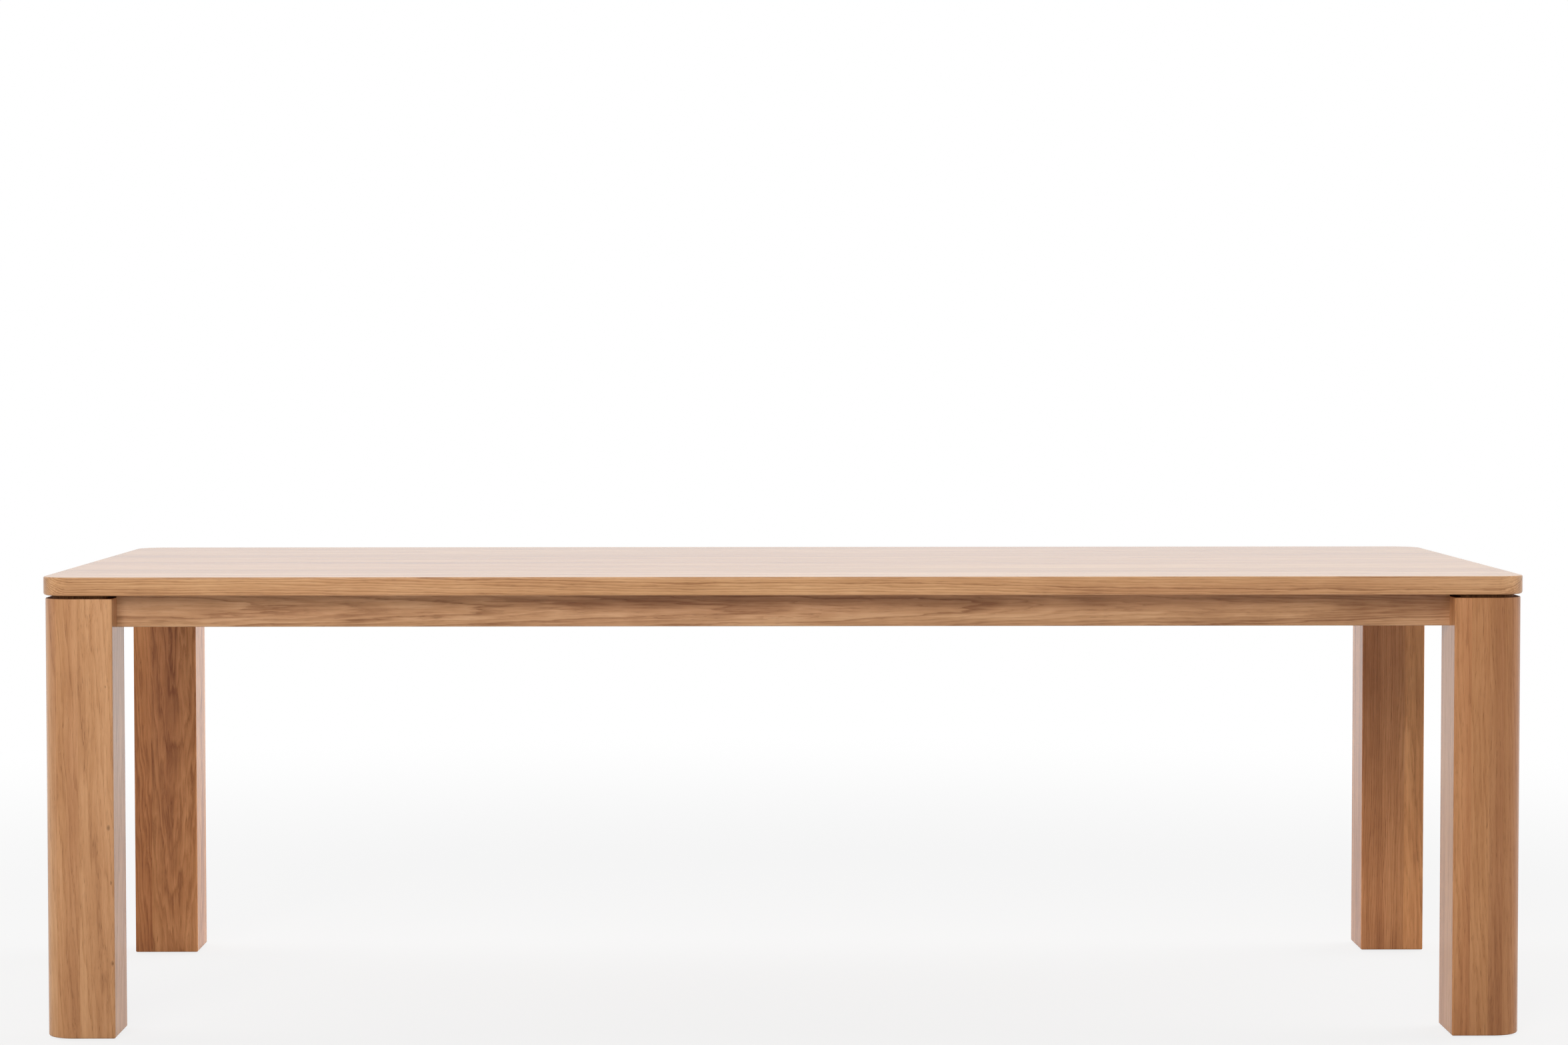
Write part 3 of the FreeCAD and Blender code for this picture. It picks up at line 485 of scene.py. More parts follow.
def oak_finish(name, axis, middle, heart, spacing=0.0028, taper=0.012, tilt=0.0, figure=1.0,
               fibre=FIBRE_DEPTH, variety=1.0, sway=SWAY, ripple=RIPPLE, tone=(1, 1, 1),
               staves=(), stave_span=None, knots=()):
    """Lacquered oak. axis is the way of the grain, middle the piece's middle, and heart the place of the
    trunk's heart from there: along the grain, then sideways twice. tilt turns the trunk a little in the
    board. figure is how strong the rings are, fibre the streaks, and variety the drift of tone. staves
    are strips glued side by side across X, over stave_span: where each starts, its shift in the trunk
    and its tone."""
    oak = Finish(name)
    here = grain_place(oak, axis, middle)
    turned = oak.place(here, location=tuple(-v for v in heart), rotation=(0, 0, tilt))
    shade = (*tone, 1.0)
    if staves:
        turned, shade = glued_staves(oak, here, turned, tone, staves, stave_span)
    bent = swayed(oak, turned, sway, ripple)
    knot = pin_knots(oak, here, knots) if knots else None
    push = oak.maths("MULTIPLY", knot, KNOT_PUSH) if knots else None
    radius, count = growth(oak, bent, spacing, taper, push)
    porous = porous_bands(oak, count)
    streak, scratch = fibres(oak, bent), pores(oak, bent, porous)
    depth = oak.maths("MULTIPLY_ADD", porous, RING_DEPTH * figure, USUAL_DEPTH)
    depth = oak.maths("MULTIPLY_ADD", streak, fibre, depth)
    depth = oak.maths("ADD", depth, tone_drift(oak, bent, variety))
    marks = [(rays(oak, bent, radius), RAY_PALE, DENSE), (scratch, PORE_DARK, DARK)]
    marks += [(knot, KNOT_DARK, DARK)] if knots else []
    colour = oak.blend(1.0, oak_colour(oak, bent, marks, depth, axis), shade, "MULTIPLY")
    lacquer(oak, colour, porous, streak, scratch)
    return oak.material


print("usual depth of colour:", USUAL_DEPTH, "on the way from dense to porous wood")

# %% [markdown]
# Every new surface in this lesson is a stack of closed outlines: a section carried along a path, one ring
# of points after another. Most outlines are polygons with arcs at their corners, so the first helper draws
# those.

# %% Rounded outlines
def rounded_outline(corners, radii, steps):
    """A closed outline round a polygon with an arc at each corner. The arc of radius r starts before the
    corner by r * tan(turn / 2), its centre lies r to the left, and its points are
    centre + r * (cos, sin) over the turn. A corner of radius 0 stays one point."""
    corners, radii = np.asarray(corners, float), np.asarray(radii, float)
    leaving = np.roll(corners, -1, axis=0) - corners
    leaving /= np.linalg.norm(leaving, axis=1, keepdims=True)
    coming = np.roll(leaving, 1, axis=0)
    turn = np.arctan2(coming[:, 0] * leaving[:, 1] - coming[:, 1] * leaving[:, 0], (coming * leaving).sum(1))
    left = np.stack([-coming[:, 1], coming[:, 0]], axis=1)
    centres = corners - coming * (radii * np.tan(turn / 2))[:, None] + left * radii[:, None]
    first = np.arctan2(-left[:, 1], -left[:, 0])
    angles = first[:, None] + turn[:, None] * np.linspace(0, 1, steps + 1)
    points = centres[:, None] + radii[:, None, None] * np.stack([np.cos(angles), np.sin(angles)], axis=-1)
    kept = (radii[:, None] > 0) | (np.arange(steps + 1) == 0)
    return points[kept]


sample = rounded_outline([(0, 0), (1, 0), (1, 1), (0, 1)], [0.1] * 4, 6)
print("a square with 4 arcs has", len(sample), "points")

# %% [markdown]
# A long board gets its own map for baked colour: round the piece one way and along it the other. That
# spends the map's pixels across the grain, where oak has its detail. The two flat ends get a band each
# above the walls, and the outline of an end is stretched to fill its band.

# %% Maps of a surface
STRIP_FILL, CAP_MARGIN = 0.94, 0.04


def wall_map(rings, box, strips):
    """The walls' map: u runs by length round the ring, afresh in each strip, and v by length from ring to
    ring."""
    left, low, right, high = box
    count = rings.shape[1]
    around = np.linalg.norm(np.roll(rings, -1, axis=1) - rings, axis=2).max(0)
    upward = np.linalg.norm(np.diff(rings, axis=0), axis=2).mean(1)
    height = np.concatenate([[0], np.cumsum(upward)]) / upward.sum()
    strip = np.searchsorted(strips, np.arange(count), side="right") - 1
    total = np.bincount(strip, around)
    start = np.cumsum(around) - around - (np.cumsum(total) - total)[strip]
    u = np.stack([start, start + around], axis=-1) / total[strip][:, None]
    share = (high - low) / len(total)
    v = np.stack([height[:-1], height[1:]], axis=-1)[:, None, :] * share * STRIP_FILL
    v = v + (low + share * strip)[None, :, None]
    u = left + (right - left) * np.broadcast_to(u, v.shape)
    corners = [(u[..., 0], v[..., 0]), (u[..., 1], v[..., 0]), (u[..., 1], v[..., 1]), (u[..., 0], v[..., 1])]
    return np.stack([np.stack(corner, axis=-1) for corner in corners], axis=2).reshape(-1, 2)


def cap_map(ring, box):
    """A flat end's map: its outline stretched to fill the box, with its longer side along u."""
    left, low, right, high = box
    flat = ring[:, np.argsort(np.ptp(ring, axis=0))[1:]]
    short, long = ((flat - flat.min(0)) / np.ptp(flat, axis=0)).T
    return np.stack([left + (right - left) * long,
                     low + (high - low) * (CAP_MARGIN + (1 - 2 * CAP_MARGIN) * short)], axis=-1)


print("a strip of walls fills", STRIP_FILL, "of its share of the map")

# %% [markdown]
# The rings make one array, so the faces between them come from index arithmetic and not from a loop. Only
# the two flat ends are faces with many corners. A stack that closes on itself, as a nut's does, has none.

# %% Skins
WALL_SHARE = 0.9


def skin(rings, wrap=False, map_box=None, wall_share=WALL_SHARE, strips=(0,)):
    """The points, walls, ends and map of a stack of rings, an array of (levels, points, 3). Neighbouring
    rings are joined by four-sided walls, and the first and last ring are closed by a flat end, or joined
    if wrap is set. map_box is this skin's part of the map, wall_share the share of it that the walls
    take, and strips the ring points at which the walls are cut apart."""
    levels, count, _ = rings.shape
    row = np.arange(levels if wrap else levels - 1)[:, None] * count
    next_row = (row + count) % (levels * count)
    place = np.arange(count)
    after = (place + 1) % count
    walls = np.stack([row + place, row + after, next_row + after, next_row + place], axis=-1).reshape(-1, 4)
    ends = np.empty((0, count), int) if wrap else np.stack([place[::-1], place + (levels - 1) * count])
    uv = None
    if map_box is not None:
        left, low, right, high = map_box
        roof = low + (high - low) * wall_share
        band = (roof + high) / 2
        uv = np.concatenate([wall_map(rings, (left, low, right, roof), strips),
                             cap_map(rings[0, ::-1], (left, roof, right, band)),
                             cap_map(rings[-1], (left, band, right, high))])
    return rings.reshape(-1, 3), walls, ends, uv


box_skin = skin(np.array([[(0, 0, z), (1, 0, z), (1, 1, z), (0, 1, z)] for z in (0.0, 1.0)]))
print("a box of two rings has", len(box_skin[1]), "walls and", len(box_skin[2]), "ends")

# %% [markdown]
# A piece is one object made of one or more skins. Smooth shading alone would bend the light on a flat board
# next to its rounded edge, so a Weighted Normal modifier lets the large flat faces decide. Each piece then
# rides on the table's one body, stands for the plain node of the frame, which it hides, and takes its finish
# in a slot of its own.

# %% Pieces
SHARP_EDGE = 30.0


def piece(name, skins, finish, replaced, sharp=SHARP_EDGE):
    """One object of several skins, with smooth shading that breaks at edges sharper than sharp degrees."""
    points, faces, start = np.concatenate([own[0] for own in skins]), [], 0
    for own_points, walls, ends, _ in skins:
        faces += (walls + start).tolist() + (ends + start).tolist()
        start += len(own_points)
    mesh = bpy.data.meshes.new(name)
    mesh.from_pydata(points.tolist(), [], faces)
    if skins[0][3] is not None:
        layer = mesh.uv_layers.new(name="OFBake")
        layer.uv.foreach_set("vector", np.concatenate([own[3] for own in skins]).astype(np.float32).ravel())
    mesh.shade_smooth()
    mesh.set_sharp_from_angle(angle=math.radians(sharp))
    mesh.materials.append(finish)
    made = bpy.data.objects.new(name, mesh)
    scene.collection.objects.link(made)
    shading = made.modifiers.new("even_shading", "WEIGHTED_NORMAL")
    shading.keep_sharp = True
    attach(made, "root")
    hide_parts(replaced)
    return made


# %% [markdown]
# The top is eight boards glued edge to edge. The outer edge is softened all round, a little more below than
# above, and the four corners of the panel are round in plan. A glued edge stays square, so it takes no part
# in the softening. Each board is its outline in plan, carried up a quarter-round, a straight edge and a
# second quarter-round.

# %% Top boards: shape
HALF_LENGTH, HALF_WIDTH, UNDERSIDE, TABLE_TOP = 1.2, 0.5, 0.72, 0.75
PLAN_RADIUS, UPPER_ARRIS, LOWER_ARRIS = 0.05, 0.0025, 0.004
BOARDS, BOARD_WIDTH = 8, 0.125
ARC_STEPS, ARRIS_STEPS = 14, 6


def edge_profile():
    """How far the outline draws in and its height, from the underside up: a quarter circle of the lower
    arris, then a quarter circle of the upper one."""
    turn = np.linspace(0, math.pi / 2, ARRIS_STEPS + 1)
    falling, rising = 1 - np.sin(turn), 1 - np.cos(turn)
    lower = np.stack([LOWER_ARRIS * falling, UNDERSIDE + LOWER_ARRIS * rising], axis=-1)
    upper = np.stack([UPPER_ARRIS * rising, TABLE_TOP - UPPER_ARRIS * falling], axis=-1)
    return np.concatenate([lower, upper])


def board_ring(index, inset, height):
    """A board's outline in plan, drawn in by inset on the table's outer sides only."""
    front = -HALF_WIDTH + index * BOARD_WIDTH
    rear = front + BOARD_WIDTH
    first, last = index == 0, index == BOARDS - 1
    low_y, high_y = front + inset * first, rear - inset * last
    end = HALF_LENGTH - inset
    radius = PLAN_RADIUS - inset
    outline = rounded_outline([(-end, low_y), (end, low_y), (end, high_y), (-end, high_y)],
                              [radius * first, radius * first, radius * last, radius * last], ARC_STEPS)
    return np.column_stack([outline, np.full(len(outline), height)])


print("edge profile:", len(edge_profile()), "rings, from", UNDERSIDE, "to", TABLE_TOP)

# %% [markdown]
# Boards come from different trees, or from different places in one tree. Each board here has its own heart,
# below, above or beside it, which decides whether it shows arches or straight lines. Its tone is a few
# percent lighter or darker than its neighbours, as in any glued panel. The map's strips part the front wall
# of a board from its rear wall, and the wide faces take most of the map.

# %% Top boards: cut from the trunk
BOARD_WALL_SHARE = 0.2
BOARD_CUTS = [
    # heart from the board's middle (along, sideways, up), ring width, tilt in degrees, tone
    ((0.30, 0.012, -0.085), 0.0032, 0.4, (1.14, 1.19, 1.28)),
    ((-1.70, -0.055, -0.075), 0.0036, -0.6, (0.97, 0.95, 0.93)),
    ((0.90, 0.150, 0.035), 0.0028, 0.3, (1.08, 1.09, 1.08)),
    ((-0.40, -0.014, 0.070), 0.0038, 0.8, (1.00, 0.98, 0.97)),
    ((2.10, 0.030, -0.060), 0.0034, -0.5, (1.06, 1.06, 1.03)),
    ((-1.10, -0.120, -0.045), 0.0029, 0.5, (0.95, 0.93, 0.91)),
    ((1.40, 0.020, -0.095), 0.0036, -0.9, (1.04, 1.06, 1.08)),
    ((0.10, -0.030, 0.080), 0.0033, 0.6, (0.98, 0.97, 0.96)),
]
for index, (heart, spacing, tilt, tone) in enumerate(BOARD_CUTS):
    name = f"top_board_{index + 1}"
    rings = np.stack([board_ring(index, inset, height) for inset, height in edge_profile()])
    middle = (0.0, -HALF_WIDTH + (index + 0.5) * BOARD_WIDTH, (UNDERSIDE + TABLE_TOP) / 2)
    finish = oak_finish("oak_" + name, "X", middle, heart, spacing, tilt=math.radians(tilt), tone=tone)
    rear_half = int(np.argmax(rings[0, :, 1] > middle[1]))
    shell = skin(rings, map_box=(0, 0, 1, 1), wall_share=BOARD_WALL_SHARE, strips=(0, rear_half))
    piece(name + "_dressed", [shell], finish, name)
print("boards:", BOARDS, "of", rings.shape[0], "rings, the last with", rings.shape[1], "points round")

# %% [markdown]
# A leg is a square post with one large round corner, in line with the round corner of the top. Its other
# edges are only eased. The rings go up the post: the eased foot, the long faces, a step where the inner
# corner is cut flat for the bolts, the shoulder, and the neck that stands back behind the shadow gap and
# carries the top.

# %% Legs: shape
LEG_SIDE, LEG_ROUND, LEG_ARRIS, CUT_ARRIS = 0.115, 0.047, 0.003, 0.0006
LEG_INSET, FOOT, FOOT_ARRIS, SHOULDER, SHOULDER_ARRIS = 0.003, 0.003, 0.0024, 0.715, 0.001
NECK_INSET, FLAT_FROM, FLAT_SUM = 0.012, 0.6705, 0.206
LEG_STEPS = 12


def leg_ring(height, inset=0.0, flat_sum=None, outer=None, arris=None):
    """A leg's outline with its outer corner on the origin. The inner corner is cut along the line
    x + y = flat_sum. Where no cut is given, the line just touches an arc of the arris there, so that the
    corner is simply eased."""
    outer = LEG_ROUND - inset if outer is None else outer
    arris = LEG_ARRIS - inset if arris is None else arris
    far = LEG_SIDE - inset
    cut = CUT_ARRIS
    if flat_sum is None:
        flat_sum, cut = 2 * (far - arris) + math.sqrt(2) * arris, arris
    corners = [(inset, inset), (far, inset), (far, flat_sum - far), (flat_sum - far, far), (inset, far)]
    outline = rounded_outline(corners, [outer, arris, cut, cut, arris], LEG_STEPS)
    return np.column_stack([outline, np.full(len(outline), height)])


def leg_rings():
    """The rings of a leg from the foot up."""
    turn = np.linspace(0, math.pi / 2, ARRIS_STEPS + 1)
    rings = [leg_ring(FOOT + FOOT_ARRIS * (1 - np.cos(t)), FOOT_ARRIS * (1 - np.sin(t))) for t in turn]
    rings += [leg_ring(FLAT_FROM), leg_ring(FLAT_FROM, flat_sum=FLAT_SUM)]
    low = SHOULDER - SHOULDER_ARRIS
    rings += [leg_ring(low + SHOULDER_ARRIS * np.sin(t), SHOULDER_ARRIS * (1 - np.cos(t)), FLAT_SUM)
              for t in turn]
    neck = {"inset": NECK_INSET, "outer": LEG_ROUND - NECK_INSET, "arris": LEG_ARRIS}
    return np.stack(rings + [leg_ring(SHOULDER, **neck), leg_ring(UNDERSIDE, **neck)])


post = leg_rings()
print("post:", post.shape[0], "rings of", post.shape[1], "points")

# %% [markdown]
# The post is made once, with its outer corner on the origin, and carried to the four corners of the table.
# Turning by whole quarters keeps every number exact, and the brackets' fasteners will use the same two
# helpers.

# %% Corners of the table
CORNERS = ("front_left", "front_right", "rear_right", "rear_left")


def corner_place(corner):
    """The quarter turns and the shift that carry a corner piece to its corner of the table."""
    signs = np.array([1 if "right" in corner else -1, 1 if "rear" in corner else -1, 0])
    return CORNERS.index(corner), signs * (HALF_LENGTH - LEG_INSET, HALF_WIDTH - LEG_INSET, 0)


def quarter_turned(points, turns):
    """Points turned about the upright axis by whole quarter turns: each turn takes (x, y) to (-y, x)."""
    quarter = np.array([(0, 1, 0), (-1, 0, 0), (0, 0, 1)], float)
    return points @ np.linalg.matrix_power(quarter, turns)


print("corners:", {corner: [round(v, 3) for v in corner_place(corner)[1][:2]] for corner in CORNERS})

# %% [markdown]
# The shoulder and the neck behind the shadow gap are end grain and saw-cut sides that nobody lacquers, so
# they are dull, with no clear coat to catch the light. Their brown is also painted darker than the wood, as
# painted shade, so the gap reads as one dark line.

# %% Raw oak in the shadow gap, darkened as painted shade
# The raw oak's tints are painted shade: a darker brown than the wood, so that the shadow gap reads dark.
RAW_FIBRES, GAP_PAINTED_SHADE_TINTS = (430.0, 430.0, 14.0), [(0.35, paint(104, 66, 40)), (0.65, paint(134, 92, 58))]
RAW_ROUGH, RAW_GLOSS, RAW_BUMP, DENT = 0.85, 0.1, 0.25, 0.0003
GAP_ROWS = 2  # the shoulder's rim and the sides of the neck

gap_shade = Finish("raw_oak_painted_shade")
sawn = gap_shade.noise(gap_shade.where, RAW_FIBRES, detail=3.0)
gap_shade.shine(Base_Color=gap_shade.ramp(sawn, GAP_PAINTED_SHADE_TINTS), Roughness=RAW_ROUGH, Specular_IOR_Level=RAW_GLOSS)
gap_shade.shine(Normal=gap_shade.relief(sawn, RAW_BUMP, DENT))
levels, count, _ = post.shape
row = np.repeat(np.arange(levels - 1), count)
in_gap = np.append(row >= levels - 1 - GAP_ROWS, [False, True]).astype(np.int32)
print("raw faces:", in_gap.sum(), "of a leg's", len(in_gap))

# %% [markdown]
# In the photograph the staves of the legs differ: a narrow straight-grained stave beside a flame, a golden
# one beside a redder one. The front left leg is the calmest and has a few pin knots near its inner edge.
# The rear left leg has a wild flame, so its trunk ripples more. The same oak recipe cuts them all.

# %% Legs: cut from the trunk
LEG_CUTS = {
    "front_left": dict(
        heart=(0.10, 0.035, 0.055), spacing=0.0085, taper=0.060, figure=0.42, fibre=0.24, variety=1.15,
        sway=(3.0, 0.020), ripple=(9.0, 0.006), tone=(1.04, 1.04, 1.08),
        staves=[(0.0, (0.20, 0.46, 0.53), (0.93, 0.90, 0.89)),
                (0.185, (0.20, 0.46, 0.53), (0.80, 0.71, 0.66)),
                (0.195, (0.71, 0.52, 0.44), (0.97, 0.93, 0.90)),
                (0.51, (0.50, 0.50, 0.50), (1.05, 1.05, 1.04))],
        knots=[((-0.016, -0.056, -0.049), 0.0042), ((-0.105, -0.056, -0.053), 0.0030),
               ((-0.236, -0.056, -0.054), 0.0036), ((0.212, -0.056, -0.046), 0.0024)],
    ),
    "front_right": dict(
        heart=(-0.60, -0.060, 0.080), spacing=0.0065, taper=0.030, figure=0.42, fibre=0.32,
        sway=(2.5, 0.018), tone=(0.84, 0.755, 0.73),
        staves=[(0.0, (0.31, 0.55, 0.47), (1.22, 1.21, 1.16)),
                (0.24, (0.64, 0.45, 0.52), (1.06, 1.02, 0.97)),
                (0.50, (0.44, 0.52, 0.56), (0.96, 0.92, 0.89)),
                (0.70, (0.58, 0.48, 0.45), (0.93, 0.87, 0.83))],
    ),
    # The rear legs' redder tones are partly the wood and partly painted shade: oak in the shade under the top
    # looks redder.
    "rear_right": dict(
        heart=(0.45, 0.045, -0.070), spacing=0.0030, taper=0.014, figure=0.7, variety=1.5,
        tone=(1.06, 0.96, 0.94),
        staves=[(0.0, (0.50, 0.50, 0.50), (0.93, 0.89, 0.86)),
                (0.39, (0.33, 0.47, 0.54), (0.95, 0.92, 0.89)),
                (0.68, (0.62, 0.53, 0.45), (1.20, 1.21, 1.15))],
    ),
    "rear_left": dict(
        heart=(-0.15, -0.0075, -0.017), spacing=0.0066, taper=-0.060, figure=1.05, variety=1.4,
        sway=(4.0, 0.014), ripple=(11.0, 0.012), tone=(1.07, 0.92, 0.83),
        staves=[(0.0, (0.27, 0.62, 0.61), (0.93, 0.87, 0.82)),
                (0.27, (0.50, 0.50, 0.50), (1.0, 1.0, 1.0))],
    ),
}
for corner, cut in LEG_CUTS.items():
    turns, shift = corner_place(corner)
    rings = quarter_turned(post, turns) + shift
    middle = tuple(((rings.max((0, 1)) + rings.min((0, 1))) / 2).tolist())
    finish = oak_finish("oak_leg_" + corner, "Z", middle, stave_span=LEG_SIDE, **cut)
    leg = piece(f"leg_{corner}_dressed", [skin(rings, map_box=(0, 0, 1, 1))], finish, "leg_" + corner)
    # The faces in the shadow gap take the raw oak, whose darker brown is painted shade.
    leg.data.materials.append(gap_shade.material)
    leg.data.polygons.foreach_set("material_index", in_gap)
print("legs:", {corner: len(cut["staves"]) for corner, cut in LEG_CUTS.items()}, "staves")

# %% [markdown]
# The aprons are slim rails between the legs, set well back. Their lower edges are eased, a saw kerf for the
# clips runs along the inside, and a round-ended tenon at each end fits a mortise in the leg. So the rail is
# its section carried along its length, and each tenon is a second, shorter section carried into the leg.

# %% Aprons: shape
APRON_BOTTOM, APRON_THICKNESS, APRON_ARRIS = 0.667, 0.025, 0.002
KERF_LOW, KERF_HIGH, KERF_DEPTH = 0.707, 0.710, 0.009
TENON_LOW, TENON_HIGH, TENON_THICKNESS, TENON_LENGTH, TENON_ROOT = 0.677, 0.705, 0.012, 0.025, 0.001
TENON_ROUND = 0.4999 * TENON_THICKNESS  # a hair under half, so that the two arcs of an end share no point
RAIL_BOX, TENON_BOXES, TENON_WALL_SHARE = (0, 0, 1, 0.92), [(0, 0.93, 0.48, 1), (0.52, 0.93, 1, 1)], 0.6


def carried(section, start, end):
    """A section in (across, up), carried along the first axis from start to end."""
    rings = np.empty((2, len(section), 3))
    rings[:, :, 0] = np.array([start, end])[:, None]
    rings[:, :, 1:] = section
    return rings


def apron_section():
    """The rail's outline seen from its end: eased below, with the kerf as a notch in its inner face."""
    inner, kerf = APRON_THICKNESS, APRON_THICKNESS - KERF_DEPTH
    corners = [(0, APRON_BOTTOM), (inner, APRON_BOTTOM), (inner, KERF_LOW), (kerf, KERF_LOW),
               (kerf, KERF_HIGH), (inner, KERF_HIGH), (inner, UNDERSIDE), (0, UNDERSIDE)]
    return rounded_outline(corners, [APRON_ARRIS] * 2 + [0] * 6, ARRIS_STEPS)


def tenon_section():
    """The tenon's outline: a bar whose ends are half circles."""
    low, high = (APRON_THICKNESS - TENON_THICKNESS) / 2, (APRON_THICKNESS + TENON_THICKNESS) / 2
    corners = [(low, TENON_LOW), (high, TENON_LOW), (high, TENON_HIGH), (low, TENON_HIGH)]
    return rounded_outline(corners, [TENON_ROUND] * 4, ARRIS_STEPS)


def apron_skins(half, out, turns):
    """The rail and its two tenons, made on the front side and turned to their own side."""
    rail = carried(apron_section(), -half, half)
    tenons = [carried(tenon_section(), -half - TENON_LENGTH, -half + TENON_ROOT),
              carried(tenon_section(), half - TENON_ROOT, half + TENON_LENGTH)]
    skins = [skin(quarter_turned(rail - (0, out, 0), turns), map_box=RAIL_BOX)]
    return skins + [skin(quarter_turned(tenon - (0, out, 0), turns), map_box=box, wall_share=TENON_WALL_SHARE)
                    for tenon, box in zip(tenons, TENON_BOXES)]


print("apron:", len(apron_section()), "points round the rail,", len(tenon_section()), "round a tenon")

# %% [markdown]
# The front apron of the photograph is pale, with long soft flames that start near its left end and a dark
# streak under its upper edge further right. A heart just behind its face and a strong taper give those
# flames. The other three aprons can't be seen there, so they get quieter grain from the same wood.

# %% Aprons: cut from the trunk
LONG_HALF, LONG_OUT, END_HALF, END_OUT = 1.082, 0.452, 0.382, 1.152
SIDES = {"front": (0, LONG_HALF, LONG_OUT), "right": (1, END_HALF, END_OUT),
         "rear": (2, LONG_HALF, LONG_OUT), "left": (3, END_HALF, END_OUT)}
APRON_CUTS = {
    "front": dict(heart=(-0.35, 0.024, 0.004), spacing=0.0030, taper=0.030, tilt=math.radians(0.8),
                  figure=0.9, variety=1.9, sway=(2.0, 0.016), tone=(1.01, 1.11, 1.28)),
    "right": dict(heart=(0.80, 0.062, -0.010), spacing=0.0030, figure=0.9, tone=(0.98, 0.96, 0.94)),
    "rear": dict(heart=(0.70, 0.060, 0.020), spacing=0.0031, tilt=math.radians(-0.7),
                 tone=(0.99, 0.97, 0.95)),
    "left": dict(heart=(-0.50, -0.058, 0.015), spacing=0.0029, figure=0.9, tone=(1.00, 0.98, 0.96)),
}
for side, (turns, half, out) in SIDES.items():
    skins = apron_skins(half, out, turns)
    points = np.concatenate([own[0] for own in skins])
    middle = tuple(((points.max(0) + points.min(0)) / 2).tolist())
    finish = oak_finish("oak_apron_" + side, "X" if turns % 2 == 0 else "Y", middle, **APRON_CUTS[side])
    piece(f"apron_{side}_dressed", skins, finish, "apron_" + side)
print("aprons:", len(SIDES), "with two tenons each")

# %% [markdown]
# Two cross bearers under the top keep it flat. Their shape in the frame is already right, slots and all, so
# they stay and only take an oak finish, with the grain along their own length.

# %% Cross bearers
BEARER_HEARTS = {"cross_bearer_left": (0.20, 0.040, -0.050), "cross_bearer_right": (-0.90, -0.035, 0.055)}
BEARER_TONE = (0.98, 0.97, 0.96)


def coat_nodes(names, material):
    """Nodes of the frame that keep their own shape take this material."""
    for name in names:
        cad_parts[name].material_slots[0].material = material


for name, heart in BEARER_HEARTS.items():
    low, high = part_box(name)
    finish = oak_finish("oak_" + name, "Y", tuple((low + high) / 2), heart, tone=BEARER_TONE)
    coat_nodes([name], finish)
print("bearers:", len(BEARER_HEARTS))

# %% [markdown]
# Bright zinc plate covers the washers, nuts, bolts, screws and clips. It is not a mirror: the bath leaves
# soft bluish and straw patches, and handling leaves it a little dull in places. Metal has no colour of its
# own under its shine, so one metallic shader is enough, with clouds of two sizes on its colour and its
# roughness.

# %% Zinc plate
ZINC_PATCHES, ZINC_DULL, ZINC_ROUGH, ZINC_BUMP = (70, 70, 70), (600, 600, 600), (0.24, 0.42), 0.08
ZINC_TINTS = [(0.3, paint(196, 202, 210)), (0.5, paint(210, 211, 209)), (0.7, paint(216, 208, 186))]


def patchy(finish, tint, tints, dull, rough, dents, bump):
    """A finish that varies in patches: its colour is a strip of tints read at one cloud, its roughness goes
    between two values with a second, and a third dents it."""
    finish.shine(Base_Color=finish.ramp(tint, tints), Roughness=finish.between(dull, *CLOUD_SPAN, *rough))
    finish.shine(Normal=finish.relief(dents, bump, DENT))


zinc = Finish("zinc_plate")
zinc.shine(Metallic=1.0)
dull = zinc.noise(zinc.where, ZINC_DULL, detail=2.0)
patches = zinc.noise(zinc.where, ZINC_PATCHES, detail=2.0)
patchy(zinc, patches, ZINC_TINTS, dull, ZINC_ROUGH, dull, ZINC_BUMP)
coat_nodes(["bolt_washers", "top_clips"], zinc.material)
print("zinc patches about", round(1000 / ZINC_PATCHES[0]), "mm wide")

# %% [markdown]
# The bent steel brackets behind the legs are powder coated in black. Powder melts into a skin with the
# faint dimples of orange peel, and tools rub it a little paler in places. The dimples are a bump, and the
# rubbing is a slow cloud on the colour and the roughness.

# %% Black powder coat
PEEL, RUBBED, POWDER_ROUGH, POWDER_BUMP = (850, 850, 850), (60, 60, 60), (0.42, 0.58), 0.25
POWDER_TINTS = [(0.35, paint(30, 30, 32)), (0.7, paint(48, 47, 47))]

powder = Finish("black_powder_coat")
dimples = powder.noise(powder.where, PEEL)
rubbed = powder.noise(powder.where, RUBBED, detail=3.0)
patchy(powder, rubbed, POWDER_TINTS, rubbed, POWDER_ROUGH, dimples, POWDER_BUMP)
coat_nodes(["corner_bracket_" + corner for corner in CORNERS], powder.material)
print("powder dimples about", round(1000 / PEEL[0], 1), "mm wide")

# %% [markdown]
# The glides under the legs are moulded nylon in a brown that goes with the wood, slightly scuffed by the
# floor. Scuffs are longer one way than the other, so their clouds are stretched.

# %% Nylon
SCUFFS, NYLON_ROUGH, NYLON_BUMP = (250, 900, 400), (0.45, 0.62), 0.12
NYLON_TINTS = [(0.35, paint(92, 74, 62)), (0.75, paint(124, 104, 90))]

nylon = Finish("glide_nylon")
scuff = nylon.noise(nylon.where, SCUFFS, detail=2.0)
patchy(nylon, scuff, NYLON_TINTS, scuff, NYLON_ROUGH, scuff, NYLON_BUMP)
coat_nodes(["glide_" + corner for corner in CORNERS], nylon.material)
print("glides:", len(CORNERS), "in", nylon.material.name)

# %% [markdown]
# Two hanger bolts hold each leg: a coarse wood thread in the leg and a fine machine thread outside, with a
# washer and a nut that pull the leg against its aprons. A thread is a radius that rises and falls along the
# bolt, and the wave moves on by one pitch with each turn. That is one formula of the angle and the length.

# %% Threads
BOLT_RADIUS, BOLT_STEPS, ROWS_PER_PITCH, POINT_RADIUS = 0.004, 20, 5, 0.0004


